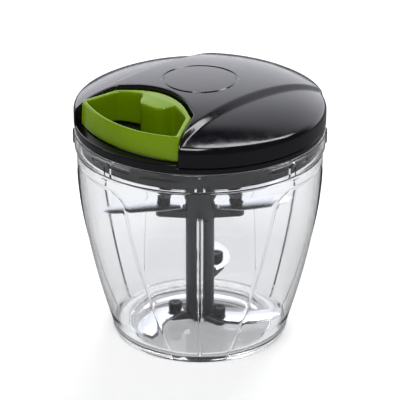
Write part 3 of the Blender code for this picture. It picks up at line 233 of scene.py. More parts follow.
# %% Lay the floor
FLOOR_SIZE = 8.0        # metres
PAPER = (0.8, 0.8, 0.8, 1.0)
FLOOR_GLOW = 0.56       # glow that the camera, gloss and glass see
FLOOR_BOUNCE = 0.3      # glow that lights the object from below
MIRROR_LOSS = 0.84      # share of the sheet that a mirrored ray loses
GLASS_LOSS = 0.36       # share that it loses inside the clear bowl

floor_mesh = bpy.data.meshes.new("floor")
half = FLOOR_SIZE / 2.0
corners = [(-half, -half, 0.0), (half, -half, 0.0), (half, half, 0.0), (-half, half, 0.0)]
floor_mesh.from_pydata(corners, [], [(0, 1, 2, 3)])
floor = bpy.data.objects.new("floor", floor_mesh)
scene.collection.objects.link(floor)
sheet = bpy.data.materials.new("white_sheet")
sheet.use_nodes = True
tree = sheet.node_tree
tree.nodes.clear()
paper = add_node(tree, "ShaderNodeBsdfDiffuse", {"Color": PAPER})
ways = add_node(tree, "ShaderNodeLightPath")
seen = math_node(tree, "MAXIMUM", ways.outputs["Is Glossy Ray"],
                 ways.outputs["Is Transmission Ray"])
seen = math_node(tree, "MAXIMUM", seen, ways.outputs["Is Camera Ray"])
glow_level = math_node(tree, "MULTIPLY_ADD", seen, FLOOR_GLOW - FLOOR_BOUNCE, FLOOR_BOUNCE)
glow = add_node(tree, "ShaderNodeEmission", {"Strength": glow_level})
both = add_node(tree, "ShaderNodeAddShader", {0: paper, 1: glow})
mirrored = math_node(tree, "MINIMUM", ways.outputs["Glossy Depth"], 1.0)
through = math_node(tree, "MINIMUM", ways.outputs["Transmission Depth"], 1.0)
loss = math_node(tree, "MULTIPLY_ADD", through, GLASS_LOSS - MIRROR_LOSS, MIRROR_LOSS)
loss = math_node(tree, "MULTIPLY", mirrored, loss)
shown = add_node(tree, "ShaderNodeMixShader", {0: loss, 1: both})
add_node(tree, "ShaderNodeOutputMaterial", {"Surface": shown})
floor_mesh.materials.append(sheet)
floor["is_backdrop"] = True
print("floor: %.0f m wide, glow %.2f" % (FLOOR_SIZE, FLOOR_GLOW))

# %% [markdown]
# ## Finishes
#
# Every finish starts as one Principled shader. A moulded or ground surface is never quite even,
# and a little unevenness in gloss and height is what makes it look made and not drawn. So each
# finish has noise on its roughness and a faint bump. The patterns are laid out in object
# coordinates, in metres, which stay with the piece when it moves.

# %% Finish helpers
def on_screen(color):
    """Linear colour from one given as it looks on screen, 0 to 255."""
    return (*((channel / 255.0) ** 2.2 for channel in color), 1.0)


def start_finish(name, color, roughness, **plain):
    """A new material with a Principled shader."""
    material = bpy.data.materials.new(name)
    material.use_nodes = True
    tree = material.node_tree
    shader = tree.nodes["Principled BSDF"]
    shader.inputs["Base Color"].default_value = on_screen(color)
    shader.inputs["Roughness"].default_value = roughness
    for socket, value in plain.items():
        shader.inputs[socket.replace("_", " ")].default_value = value
    material.diffuse_color = on_screen(color)
    return material, tree, shader


def object_place(tree, scale=(1.0, 1.0, 1.0)):
    """Object coordinates, stretched by a Mapping node."""
    place = add_node(tree, "ShaderNodeTexCoord").outputs["Object"]
    return add_node(tree, "ShaderNodeMapping", {"Vector": place, "Scale": scale}).outputs["Vector"]


def noise(tree, place, cell, detail=2.0):
    """Noise whose lumps are about one cell wide, given in millimetres."""
    return add_node(tree, "ShaderNodeTexNoise",
                    {"Vector": place, "Scale": 1.0 / (cell * MM), "Detail": detail}).outputs["Fac"]


def uneven_gloss(tree, shader, value, low, high):
    """Let the roughness wander between two values."""
    link_value(tree, shader.inputs["Roughness"], ease_node(tree, value, 0.3, 0.7, low, high))


def uneven_color(tree, shader, value, first, second):
    """Let the colour wander between two tones."""
    share = ease_node(tree, value, 0.3, 0.7, 0.0, 1.0)
    tones = {"Factor": share, 6: on_screen(first), 7: on_screen(second)}
    mix = add_node(tree, "ShaderNodeMix", tones, data_type="RGBA")
    tree.links.new(mix.outputs[2], shader.inputs["Base Color"])


def raise_bump(tree, shader, value, depth, strength):
    """Bump from a height value; depth is in millimetres."""
    bump = add_node(tree, "ShaderNodeBump",
                    {"Height": value, "Strength": strength, "Distance": depth * MM})
    tree.links.new(bump.outputs["Normal"], shader.inputs["Normal"])


# %% Plastics
def clear_plastic():
    """Polished clear moulding: faint flow waves in the wall and fine wear on the surface."""
    material, tree, shader = start_finish("clear_plastic", (240, 241, 242), 0.02,
                                          Transmission_Weight=1.0, IOR=1.53)
    place = object_place(tree, (1.0, 1.0, 0.35))
    uneven_gloss(tree, shader, noise(tree, place, 9.0), 0.01, 0.05)
    raise_bump(tree, shader, noise(tree, place, 22.0, 1.0), 0.12, 0.25)
    return material


def gloss_plastic(name, color, deeper, roughness):
    """Glossy coloured moulding: even colour, slight flow marks, gloss that wanders a little."""
    material, tree, shader = start_finish(name, color, roughness, IOR=1.5)
    place = object_place(tree)
    uneven_color(tree, shader, noise(tree, place, 30.0), color, deeper)
    uneven_gloss(tree, shader, noise(tree, place, 5.0), roughness - 0.03, roughness + 0.04)
    raise_bump(tree, shader, noise(tree, place, 1.6, 4.0), 0.02, 0.18)
    return material


def matt_plastic(name, color, deeper, roughness):
    """Spark-eroded moulding: a fine grain that breaks up the gloss."""
    material, tree, shader = start_finish(name, color, roughness, IOR=1.48)
    place = object_place(tree)
    uneven_color(tree, shader, noise(tree, place, 12.0), color, deeper)
    uneven_gloss(tree, shader, noise(tree, place, 3.0), roughness - 0.05, roughness + 0.08)
    raise_bump(tree, shader, noise(tree, place, 0.35, 3.0), 0.03, 0.35)
    return material


CLEAR = clear_plastic()
LID_GLOSS = gloss_plastic("lid_gloss", (22, 22, 27), (27, 27, 33), 0.14)
LIME_GLOSS = gloss_plastic("lime_gloss", (136, 170, 4), (128, 163, 3), 0.17)
BASE_BLACK = gloss_plastic("base_black", (22, 22, 26), (27, 27, 31), 0.17)
SHAFT_GREY = matt_plastic("shaft_grey", (62, 63, 70), (56, 57, 64), 0.38)
CAP_GREY = matt_plastic("cap_grey", (40, 41, 46), (35, 36, 41), 0.40)
CUP_GREY = matt_plastic("cup_grey", (84, 84, 88), (76, 76, 80), 0.5)
SPOOL_WHITE = matt_plastic("spool_white", (212, 212, 205), (204, 204, 196), 0.45)
RUBBER = matt_plastic("seal_rubber", (52, 52, 54), (44, 44, 46), 0.6)


# %% Metals and cord
def steel(name, color, roughness, grain):
    """Ground steel: fine scratches that are long in one direction."""
    material, tree, shader = start_finish(name, color, roughness, Metallic=1.0)
    scratches = noise(tree, object_place(tree, grain), 9.0, 6.0)
    uneven_gloss(tree, shader, scratches, roughness - 0.07, roughness + 0.09)
    raise_bump(tree, shader, scratches, 0.01, 0.25)
    return material


def bronze():
    """Sintered bearing metal: warm, dull and full of fine pores."""
    material, tree, shader = start_finish("bush_bronze", (196, 150, 92), 0.42, Metallic=1.0)
    pores = add_node(tree, "ShaderNodeTexVoronoi",
                     {"Vector": object_place(tree), "Scale": 1.0 / (0.4 * MM)}).outputs["Distance"]
    uneven_gloss(tree, shader, pores, 0.5, 0.36)
    raise_bump(tree, shader, pores, 0.04, 0.4)
    return material


def braided_cord():
    """Braided cord: diamonds that cross over along its length, from the piece's own UV map, with
    painted shade in the hollows between the strands.
    """
    material, tree, shader = start_finish("cord_braid", (226, 226, 220), 0.75)
    along = add_node(tree, "ShaderNodeUVMap", uv_map="braid").outputs["UV"]
    parts = add_node(tree, "ShaderNodeSeparateXYZ", {"Vector": along})
    right = math_node(tree, "ADD", parts.outputs["X"], parts.outputs["Y"])
    right = math_node(tree, "SINE", right)
    left = math_node(tree, "SUBTRACT", parts.outputs["X"], parts.outputs["Y"])
    left = math_node(tree, "SINE", left)
    weave = math_node(tree, "MULTIPLY", right, left)
    # painted shade: the lower the weave's bump, the darker the tone, so the hollows between strands
    # look shaded
    shade = math_node(tree, "MULTIPLY_ADD", weave, 0.35, 0.5)
    uneven_color(tree, shader, shade, (206, 206, 198), (236, 236, 232))
    raise_bump(tree, shader, weave, 0.12, 0.8)
    return material


BLADE_STEEL = steel("blade_steel", (240, 241, 244), 0.30, (60.0, 1.0, 1.0))
PIN_STEEL = steel("pin_steel", (200, 201, 206), 0.24, (1.0, 1.0, 40.0))
SCREW_STEEL = steel("screw_steel", (186, 188, 192), 0.32, (1.0, 1.0, 1.0))
SPRING_STEEL = steel("spring_steel", (150, 152, 160), 0.26, (1.0, 1.0, 30.0))
BRONZE = bronze()
BRAID = braided_cord()
print("finishes:", ", ".join(sorted(material.name for material in bpy.data.materials)))

# %% [markdown]
# ## Building meshes
#
# Most of the chopper is moulded, and a moulded piece has two habits: it is turned or it is drawn
# straight out of its mould, and none of its edges is quite sharp. So two helpers do most of the
# work. One revolves a profile, the other stacks an outline with a small inset at its ends, and
# both take corners with a radius. Edges with a radius catch a thin line of light.

# %% Mesh helpers
SHARP = 32.0        # degrees; edges with a larger angle are shown sharp


def polar(radius, degrees):
    """Plan point at an azimuth from -Y towards +X."""
    angle = math.radians(degrees)
    return (radius * math.sin(angle), -radius * math.cos(angle))


def round_path(corners, steps=4):
    """Replace corners (a, b, radius) by arcs; a corner without a radius stays."""
    path = []
    count = len(corners)
    for index, corner in enumerate(corners):
        here = Vector(corner[:2])
        radius = corner[2] if len(corner) > 2 else 0.0
        if not radius:
            path.append(tuple(here))
            continue
        before = Vector(corners[index - 1][:2]) - here
        after = Vector(corners[(index + 1) % count][:2]) - here
        half = before.angle(after) / 2.0
        reach = min(radius / math.tan(half), 0.49 * before.length, 0.49 * after.length)
        radius = reach * math.tan(half)
        before.normalize()
        after.normalize()
        centre = here + (before + after).normalized() * (radius / math.sin(half))
        start = here + before * reach - centre
        turn = start.angle_signed(here + after * reach - centre)
        for step in range(steps + 1):
            path.append(tuple(centre + Matrix.Rotation(-turn * step / steps, 2) @ start))
    return path


def lathe(profile, sides):
    """Revolve (radius, z) points about Z; an open profile starts and ends on the axis."""
    bm = bmesh.new()
    rings = []
    for radius, z in profile:
        if radius < 1e-6:
            rings.append([bm.verts.new((0.0, 0.0, z))])
            continue
        rings.append([bm.verts.new((*polar(radius, 360.0 * side / sides), z))
                      for side in range(sides)])
    pairs = list(zip(rings, rings[1:]))
    if len(rings[0]) > 1:
        pairs.append((rings[-1], rings[0]))
    for low, high in pairs:
        for side in range(sides):
            after = (side + 1) % sides
            corners = [low[side % len(low)], low[after % len(low)],
                       high[after % len(high)], high[side % len(high)]]
            corners = [corner for number, corner in enumerate(corners)
                       if corner is not corners[number - 1]]
            if len(corners) > 2:
                bm.faces.new(corners)
    bmesh.ops.recalc_face_normals(bm, faces=bm.faces)
    return bm


def inset_loop(loop, distance):
    """Move each point of a counter-clockwise outline inward."""
    moved = []
    count = len(loop)
    for index in range(count):
        here = Vector(loop[index])
        ahead = (Vector(loop[(index + 1) % count]) - here).normalized()
        behind = (here - Vector(loop[index - 1])).normalized()
        normal = (Vector((-behind.y, behind.x)) + Vector((-ahead.y, ahead.x))).normalized()
        slant = max(0.35, normal.dot(Vector((-ahead.y, ahead.x))))
        moved.append(tuple(here + normal * (distance / slant)))
    return moved


def edge_rows(low, high, radius, steps=4):
    """Rows (inset, z) of a prism whose two ends have rounded edges; high may be a function."""
    rows = []
    for step in range(steps + 1):
        angle = math.pi / 2.0 * step / steps
        rows.append((radius * (1.0 - math.sin(angle)), low + radius * (1.0 - math.cos(angle))))
    for step in range(steps, -1, -1):
        angle = math.pi / 2.0 * step / steps
        drop = radius * (1.0 - math.cos(angle))
        top = (lambda point, drop=drop: high(point) - drop) if callable(high) else high - drop
        rows.append((radius * (1.0 - math.sin(angle)), top))
    return rows


def prism(loops, rows):
    """Closed solid over a counter-clockwise outline and clockwise holes, from rows (inset, z)."""
    bm = bmesh.new()
    stacks = []
    for loop in loops:
        stack = []
        for inset, height in rows:
            ring = []
            for point in inset_loop(loop, inset):
                z = height(point) if callable(height) else height
                ring.append(bm.verts.new((*point, z)))
            stack.append(ring)
        stacks.append(stack)
    for stack in stacks:
        for low, high in zip(stack, stack[1:]):
            for index in range(len(low)):
                after = (index + 1) % len(low)
                bm.faces.new((low[index], low[after], high[after], high[index]))
    for level in (0, -1):
        flat = [vert for stack in stacks for vert in stack[level]]
        outlines = [[Vector((*vert.co.xy, 0.0)) for vert in stack[level]] for stack in stacks]
        for triangle in geometry.tessellate_polygon(outlines):
            bm.faces.new([flat[number] for number in triangle])
    bmesh.ops.recalc_face_normals(bm, faces=bm.faces)
    return bm


def placed(bm, shift=(0.0, 0.0, 0.0), tilt=0.0, azimuth=0.0):
    """Tip a shape back about X, shift it, and turn it about Z; angles in degrees."""
    move = Matrix.Translation(shift) @ Matrix.Rotation(math.radians(tilt), 4, "X")
    move = Matrix.Rotation(math.radians(azimuth), 4, "Z") @ move
    bmesh.ops.transform(bm, matrix=move, verts=bm.verts)
    return bm


def shade(mesh, sharp=SHARP):
    """Smooth shading but for the sharp edges."""
    mesh.shade_smooth()
    mesh.set_sharp_from_angle(angle=math.radians(sharp))


def make_object(name, bm, sharp=SHARP):
    """Object at the origin from a bmesh in millimetres, smooth but for its sharp edges."""
    bmesh.ops.scale(bm, vec=(MM, MM, MM), verts=bm.verts)
    mesh = bpy.data.meshes.new(name)
    bm.to_mesh(mesh)
    bm.free()
    shade(mesh, sharp)
    made = bpy.data.objects.new(name, mesh)
    scene.collection.objects.link(made)
    return made


def turned(name, corners, sides, steps=4, **place):
    """Object turned from a profile; place is a shift, tilt and azimuth."""
    return make_object(name, placed(lathe(round_path(corners, steps), sides), **place))


def cylinder(name, radius, low, high, sides, edges=(0.0, 0.0), **rest):
    """Round bar; edges are the radii of its lower and upper edge."""
    corners = [(0.0, low), (radius, low, edges[0]), (radius, high, edges[1]), (0.0, high)]
    return turned(name, corners, sides, **rest)


def settle(piece, modifier):
    """Make a modifier's result the piece's own mesh and take the modifier off."""
    graph = bpy.context.evaluated_depsgraph_get()
    mesh = bpy.data.meshes.new_from_object(piece.evaluated_get(graph))
    piece.modifiers.remove(modifier)
    piece.data = mesh
    mesh.name = piece.name
    shade(mesh)
    return piece


def combine(piece, operation, tool):
    """Exact Boolean; the tool is used up."""
    modifier = piece.modifiers.new("cut", "BOOLEAN")
    modifier.operation = operation
    modifier.solver = "EXACT"
    modifier.object = tool
    settle(piece, modifier)
    bpy.data.objects.remove(tool, do_unlink=True)
    return piece


def keep(piece, finish, body, slot, *nodes):
    """Give a piece its finish, let it ride on its body and stand for its CAD nodes."""
    piece.data.materials.clear()
    piece.data.materials.append(finish)
    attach(piece, body)
    if nodes:
        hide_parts(*nodes)
    size = [round(value / MM, 1) for value in piece.dimensions]
    print("%-14s %6d faces, %s mm, on %s" % (piece.name, len(piece.data.polygons), size, body))
    return piece


# %% [markdown]
# ## The clear bowl
#
# The bowl is one thick clear moulding, so light bends where its wall changes. It needs both of its
# skins: with only one, glass looks like a soap bubble. The wall has three shallow windows outside,
# three straight ribs inside, a plain band at the rim with eight small arches, and four tabs that
# hold the lid.
#
# It could be turned and then cut with Booleans, but every cut leaves long thin triangles, and clear
# plastic shows each one. Here it is one net of rings and columns instead. The columns follow the
# edges of the windows up the body, and slide over to the edges of the arches and tabs on the band,
# so each step lies between two columns and stays crisp.

# %% Sizes of the bowl
bowl_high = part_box("bowl")[1]
BOWL_HEIGHT = bowl_high[2] / MM
BAND_R = bowl_high[0] / MM - 0.4
BAND_BOTTOM = BOWL_HEIGHT - 9.2
BAND_WALL = 1.8
BODY_R = BAND_R - 1.2
BODY_TOP = BAND_BOTTOM - 9.7
BOWL_WALL = 1.9
LOW_R = 49.5
LOW_Z = 9.0
TAPER = 1.72               # power of the curve between the low radius and the top of the body
FOOT_TUCK = 3.6            # how far the wall turns in below LOW_Z
FOOT_HOLLOW = 1.0
FLOOR_TOP = 3.5
FLOOR_CORNER_R = 4.5
WINDOW_DEPTH = 0.55
WINDOW_BEAD = 0.3          # a fine bead stands along the edge of a window
WINDOW_TOP = BODY_TOP + 2.1
WINDOW_FOOT = 3.2
WINDOW_RIM = 0.45          # half the height that the upper edge of a window takes
WINDOW_STEP = 1.6          # width that the columns at a window's edge cover
WINDOW_SIDE = (16.0, 22.0)      # degrees from a rib at the foot, and how many more at the top
WINDOW_CORNER = (8.0, 6.6)      # height of the rounded upper corner, and its degrees
RIB_FIRST = 45.0
RIB_DEPTH = 1.1
RIB_TOP = BODY_TOP - 7.0
ARCH_HALF = 2.7
ARCH_HEIGHT = 8.2
ARCH_PROUD = 0.85
ARCH_EDGE = 0.62           # the outline is a bead, twice as wide as this
ARCH_FIELD = 0.3           # height of the field inside the bead, as a share of the bead
TAB_HALF = 12.0            # degrees
TAB_STEP = 0.2             # degrees that the side of a tab takes
TAB_REACH = 1.6
TAB_BOTTOM = BOWL_HEIGHT - 4.5
TAB_THICK = 1.8
TAB_RISE = 0.06            # half the height that the upper or lower side of a tab takes
BOSS_R = 4.5
BOSS_TOP = 12.4
PIN_HOLE_R = 2.3
PIN_HOLE_LOW = 2.4
COLUMNS = 264              # 88 for each rib, or 33 for each arch
OUTER_SLIDE = (101.0, 106.5)    # heights between which the columns slide to the arches
INNER_SLIDE = (95.0, 105.0)     # and to the lock tabs
print("bowl: %.1f mm high, band radius %.1f mm" % (BOWL_HEIGHT, BAND_R))


# %% Net of the bowl
def ease(value, low, high):
    """Smooth step from 0 at low to 1 at high."""
    share = min(max((value - low) / (high - low), 0.0), 1.0)
    return share * share * (3.0 - 2.0 * share)


def body_radius(z):
    """Outer radius of the tapered body."""
    if z >= BODY_TOP:
        return BODY_R
    if z >= LOW_Z:
        return BODY_R - (BODY_R - LOW_R) * ((BODY_TOP - z) / (BODY_TOP - LOW_Z)) ** TAPER
    return LOW_R - FOOT_TUCK * (1.0 - math.sqrt(max(z, 0.0) / LOW_Z))


def window_side(z):
    """Azimuth from a rib to the side of the window next to it."""
    share = min(max(z / WINDOW_TOP, 0.0), 1.0)
    corner = min(max((z - WINDOW_TOP + WINDOW_CORNER[0]) / WINDOW_CORNER[0], 0.0), 1.0)
    return WINDOW_SIDE[0] + WINDOW_SIDE[1] * share ** 0.72 + WINDOW_CORNER[1] * corner ** 3


def from_rib(azimuth):
    """Degrees to the nearest rib."""
    return abs((azimuth - RIB_FIRST + 60.0) % 120.0 - 60.0)


def spread(start, end, cells):
    """Even steps from start up to, but without, end."""
    return [start + (end - start) * cell / cells for cell in range(cells)]


def body_columns(z, radius):
    """Azimuths of the columns on the body, which follow ribs and windows."""
    step = math.degrees(WINDOW_STEP / 2.0 / radius)
    side = window_side(z)
    half = [math.degrees(width / radius) for width in (0.0, 0.55, 0.8, 1.05)]
    half += spread(math.degrees(1.3 / radius), side - step, 13)
    half += spread(side - step, side + step, 8)
    half += spread(side + step, 60.0, 19) + [60.0]
    third = [-value for value in half[:0:-1]] + half[:-1]
    return [RIB_FIRST + 120.0 * number + value for number in range(3) for value in third]


def band_columns():
    """Azimuths of the same columns on the band, which follow arches and lock tabs."""
    arch = math.degrees((ARCH_HALF + 0.3) / BAND_R)
    low_edge = TAB_HALF - TAB_STEP
    high_edge = TAB_HALF + TAB_STEP
    sector = spread(0.0, arch, 9) + spread(arch, low_edge, 3) + [low_edge]
    sector += spread(high_edge, 45.0 - high_edge, 7) + [45.0 - high_edge]
    sector += spread(45.0 - low_edge, 45.0 - arch, 3) + spread(45.0 - arch, 45.0, 9)
    ring = [45.0 * number + value for number in range(-1, 8) for value in sector]
    # it starts at the edge of a tab, next to the first column of the body
    return ring[21:21 + COLUMNS]


def outer_relief(z, base, azimuth):
    """How far windows, beads and arches stand out from the plain wall."""
    if z < WINDOW_TOP + 1.0:
        past_edge = (from_rib(azimuth) - window_side(z)) * math.radians(base)
        bead = max(0.0, 1.0 - (past_edge / 0.8) ** 2) ** 2
        height = ease(z, WINDOW_FOOT - 1.0, WINDOW_FOOT)
        height *= ease(-z, -WINDOW_TOP - WINDOW_RIM, -WINDOW_TOP + WINDOW_RIM)
        return (WINDOW_BEAD * bead - WINDOW_DEPTH * ease(past_edge, -0.3, 0.3)) * height
    across = math.radians((azimuth + 22.5) % 45.0 - 22.5) * BAND_R
    rise = max(0.0, z - BAND_BOTTOM - ARCH_HEIGHT + ARCH_HALF)
    inside = ARCH_HALF - math.hypot(across, rise)
    outline = max(0.0, 1.0 - (inside / ARCH_EDGE - 1.0) ** 2) ** 2
    arch = max(outline, ARCH_FIELD * ease(inside, 0.0, ARCH_EDGE))
    return ARCH_PROUD * arch * ease(z, BAND_BOTTOM, BAND_BOTTOM + 0.6)


def inner_relief(z, base, azimuth):
    """How far ribs and lock tabs reach in from the plain wall, as a negative number."""
    if z < RIB_TOP + 2.0:
        rib = 1.0 - ease(math.radians(from_rib(azimuth)) * base, 0.7, 1.15)
        rib *= ease(-z, -RIB_TOP - 1.5, -RIB_TOP) * ease(z, FLOOR_TOP + 0.3, FLOOR_TOP + 1.5)
        return -RIB_DEPTH * rib
    if TAB_BOTTOM < z < TAB_BOTTOM + TAB_THICK:
        from_tab = abs((azimuth + 45.0) % 90.0 - 45.0)
        return -TAB_REACH * (1.0 - ease(from_tab, TAB_HALF - TAB_STEP, TAB_HALF + TAB_STEP))
    return 0.0


def bowl_ring(bm, base, z, outside):
    """One ring of the net, with all that stands out from it or is sunk into it."""
    share = ease(z, *(OUTER_SLIDE if outside else INNER_SLIDE))
    relief = outer_relief if outside else inner_relief
    ring = []
    for body, band in zip(body_columns(z, max(base, 45.0)), band_columns()):
        azimuth = body + (band - body) * share
        ring.append(bm.verts.new((*polar(base + relief(z, base, azimuth), azimuth), z)))
    return ring


def outer_levels():
    """Base radius and height of the outer rings, from the foot to the rim."""
    levels = [(38.2, 1.0), (38.7, 0.75), (39.0, 0.2), (39.3, 0.0), (44.6, 0.0), (45.4, 0.12)]
    heights = [0.35, 0.8, 1.4, 2.2, 2.7, 3.2, 3.8, 4.6, 5.6, 7.0] + spread(9.0, 88.0, 26)
    heights += spread(88.0, WINDOW_TOP - WINDOW_RIM, 14)
    heights += spread(WINDOW_TOP - WINDOW_RIM, WINDOW_TOP + WINDOW_RIM, 3)
    heights += spread(WINDOW_TOP + WINDOW_RIM, BAND_BOTTOM - 0.2, 7)
    levels += [(body_radius(z), z) for z in heights]
    levels += [(BODY_R, BAND_BOTTOM - 0.2), (BODY_R + 0.15, BAND_BOTTOM - 0.05)]
    levels += [(BAND_R - 0.35, BAND_BOTTOM), (BAND_R - 0.1, BAND_BOTTOM + 0.1)]
    levels += [(BAND_R, BAND_BOTTOM + 0.4)]
    levels += [(BAND_R, z) for z in spread(BAND_BOTTOM + 0.8, BOWL_HEIGHT - 0.6, 26)]
    levels += [(BAND_R, BOWL_HEIGHT - 0.6), (BAND_R - 0.15, BOWL_HEIGHT - 0.2)]
    return levels + [(BAND_R - 0.5, BOWL_HEIGHT)]


def inner_levels():
    """Base radius and height of the inner rings, from the rim down to the hole for the pin."""
    band_in = BAND_R - BAND_WALL
    tab_top = TAB_BOTTOM + TAB_THICK
    ledge = BAND_BOTTOM - 1.2
    levels = [(band_in + 0.4, BOWL_HEIGHT), (band_in + 0.1, BOWL_HEIGHT - 0.15)]
    heights = [BOWL_HEIGHT - 0.5, BOWL_HEIGHT - 1.6]
    heights += [tab_top + TAB_RISE, tab_top - TAB_RISE, tab_top - 0.3]
    heights += [TAB_BOTTOM + 0.3, TAB_BOTTOM + TAB_RISE, TAB_BOTTOM - TAB_RISE, TAB_BOTTOM - 2.0]
    levels += [(band_in, z) for z in heights + [ledge + 0.9]]
    levels += [(band_in - 0.2, ledge + 0.45), (band_in - 1.0, ledge - 0.1)]
    levels += [(BODY_R - BOWL_WALL, ledge - 0.8)]
    heights = spread(ledge - 2.0, BODY_TOP, 4) + spread(BODY_TOP, RIB_TOP + 1.5, 4)
    heights += spread(RIB_TOP + 1.5, RIB_TOP, 3) + spread(RIB_TOP, LOW_Z, 26)
    levels += [(body_radius(z) - BOWL_WALL, z) for z in heights]
    wall_foot = body_radius(LOW_Z - 1.5) - BOWL_WALL - 0.2
    for step in range(8):
        angle = math.pi / 2.0 * step / 7
        levels.append((wall_foot - FLOOR_CORNER_R * (1.0 - math.cos(angle)),
                       FLOOR_TOP + FLOOR_CORNER_R * (1.0 - math.sin(angle))))
    levels += [(radius, FLOOR_TOP) for radius in (38.0, 24.0, 12.0, BOSS_R + 1.2)]
    levels += [(BOSS_R + 0.35, FLOOR_TOP + 0.35), (BOSS_R, FLOOR_TOP + 1.2)]
    levels += [(BOSS_R, BOSS_TOP - 0.4), (BOSS_R - 0.12, BOSS_TOP - 0.12), (BOSS_R - 0.4, BOSS_TOP)]
    return levels + [(PIN_HOLE_R, z) for z in (BOSS_TOP, 8.0, PIN_HOLE_LOW)]


# %% Make the bowl
def build_bowl():
    """Join the rings into one closed net with a pole below and one in the pin's hole."""
    bm = bmesh.new()
    rings = [bowl_ring(bm, radius, z, True) for radius, z in outer_levels()]
    rings += [bowl_ring(bm, radius, z, False) for radius, z in inner_levels()]
    poles = [bm.verts.new((0.0, 0.0, z)) for z in (FOOT_HOLLOW, PIN_HOLE_LOW)]
    for low, high in zip(rings, rings[1:]):
        for column in range(COLUMNS):
            after = (column + 1) % COLUMNS
            bm.faces.new((low[column], low[after], high[after], high[column]))
    for pole, ring in zip(poles, (rings[0], rings[-1])):
        for column in range(COLUMNS):
            bm.faces.new((pole, ring[column], ring[(column + 1) % COLUMNS]))
    bmesh.ops.recalc_face_normals(bm, faces=bm.faces)
    return make_object("clear_bowl", bm, sharp=40.0)


keep(build_bowl(), CLEAR, "bowl_body", "bowl", "bowl")

# %% [markdown]
# ## Outline of the pull handle
#
# The handle is a fan: a bowed back, two corners, straight sides that spread towards the front and
# a long bow in front. The pocket in the lid is the same fan a little larger, and so is the ledge
# that the handle rests on, so one function draws all three.

# %% Handle outline
CORD_Z = BOWL_HEIGHT + 13.3
HANDLE_BACK = -24.2
BACK_BOW = 76.0            # the back edge runs as y = HANDLE_BACK - x * x / BACK_BOW
BACK_HALF = 18.0           # half width of the bowed part
HANDLE_CORNER = (27.8, HANDLE_BACK - 9.8)
HANDLE_CORNER_R = 5.0
SIDE_LEAN = 0.47           # sideways growth per millimetre forward
LID_R = BAND_R + 0.1
HANDLE_FRONT = 6.3 - LID_R
HANDLE_FRONT_R = 80.2
POCKET_GAP = 1.0
POCKET_BACK_GAP = 1.4
POCKET_WALL = 1.5


def side_x(y, gap):
    """Half width between the straight sides, moved outward by a gap."""
    return HANDLE_CORNER[0] + gap * math.hypot(1.0, SIDE_LEAN) + SIDE_LEAN * (HANDLE_CORNER[1] - y)


def back_y(x, gap):
    """Place of the bowed back edge."""
    return HANDLE_BACK + gap - x * x / BACK_BOW


def side_meets(radius, centre_y, gap):
    """Point where the straight side crosses a circle about (0, centre_y)."""
    low = centre_y - radius
    high = HANDLE_CORNER[1]
    for _ in range(40):
        middle = (low + high) / 2.0
        if math.hypot(side_x(middle, gap), middle - centre_y) > radius:
            low = middle
        else:
            high = middle
    return side_x(low, gap), low


def fan_back(gap, back_gap):
    """Corners and bowed back edge from right to left."""
    corner_y = HANDLE_CORNER[1] + back_gap
    corner_x = side_x(corner_y, gap)
    back = [(x, back_y(x, back_gap)) for x in numpy.linspace(BACK_HALF, -BACK_HALF, 31)]
    radius = HANDLE_CORNER_R + gap
    return [(corner_x, corner_y, radius)] + back + [(-corner_x, corner_y, radius)]


def front_bow(radius, centre_y, gap):
    """Front arc from left to right, without its corners."""
    front_x, front_y = side_meets(radius, centre_y, gap)
    edge = math.degrees(math.atan2(front_x, centre_y - front_y))
    arc = [polar(radius, azimuth) for azimuth in numpy.linspace(-edge, edge, 50)[1:-1]]
    return [(x, y + centre_y) for x, y in arc]


def fan(gap, back_gap, radius, centre_y, front_corner):
    """Closed fan outline, counter-clockwise."""
    front_x, front_y = side_meets(radius, centre_y, gap)
    corners = [(front_x, front_y, front_corner)] + fan_back(gap, back_gap)
    corners += [(-front_x, front_y, front_corner)] + front_bow(radius, centre_y, gap)
    return round_path(corners, 8)


front_half = side_meets(HANDLE_FRONT_R, HANDLE_FRONT + HANDLE_FRONT_R, 0.0)[0]
print("handle: %.1f mm across its front" % (2.0 * front_half))

# %% [markdown]
# ## The domed lid
#
# The lid's cover is the hardest piece. It is a shallow dome with a rounded shoulder and an upright
# wall. A raised waist runs over it from front to back, and beside the waist two lens-shaped panels
# lie lower, each behind a slanted band. The handle's pocket is cut through it all. The finish is
# a soft gloss, so every uneven face would show as a dent in the reflections.
#
# Booleans on a turned dome would leave such faces. So the skin is drawn flat first, as a disc in
# which the shoulder and the wall are unrolled. Lines are laid into the disc where the shape
# changes, even points fill the rest, and a Delaunay triangulation joins them. Then each point is
# lifted to its place on the dome. The edge of the pocket gets its rounding row by row.

# %% Shape of the lid
COVER_FOOT = BOWL_HEIGHT + 3.9
CROWN_Z = BOWL_HEIGHT + 26.8
CROWN_FALL = (5.2, 6.6)    # how far the crown falls to the rim, evenly and near the rim
COVER_SHELL = 1.9
SHOULDER_R = 4.5
SHOULDER_JOIN = math.radians(60.0)
WAIST_HALF = 31.3          # half width of the waist where it is narrowest
WAIST_Y = 3.5              # where that is
WAIST_BOW = 600.0          # the waist widens by y * y / WAIST_BOW from there
BAND_WIDTH = 4.6           # width of the slanted band there
BAND_BOW = 950.0           # the band narrows in the same way
BAND_LEAST = 2.0           # down to this width
PANEL_DROP = 1.8
PANEL_EDGE = 0.45          # half width of the rounding along a panel's edges
PANEL_FADE = (1.0, 7.5)    # above the foot: where a panel starts, and over what height
RING_R = 19.5
RING_DEPTH = 0.45
RING_FLAT = 0.4            # half width of the groove's floor,
RING_SLOPE = 0.65          # halfway up
RING_EDGE = 0.9            # and at the top
POCKET_EDGE = 0.7          # radius of the rounding along the pocket
POCKET_START = -15.0       # the pocket lies in front of this y
OUTER_SPACING = 1.25       # between the points of the outer skin
INNER_SPACING = 3.5        # and of the inner one
SHOULDER_START = 130       # row of the lid's profile where the shoulder starts
WALL_START = SHOULDER_START + 12
WALL_END = WALL_START + 1


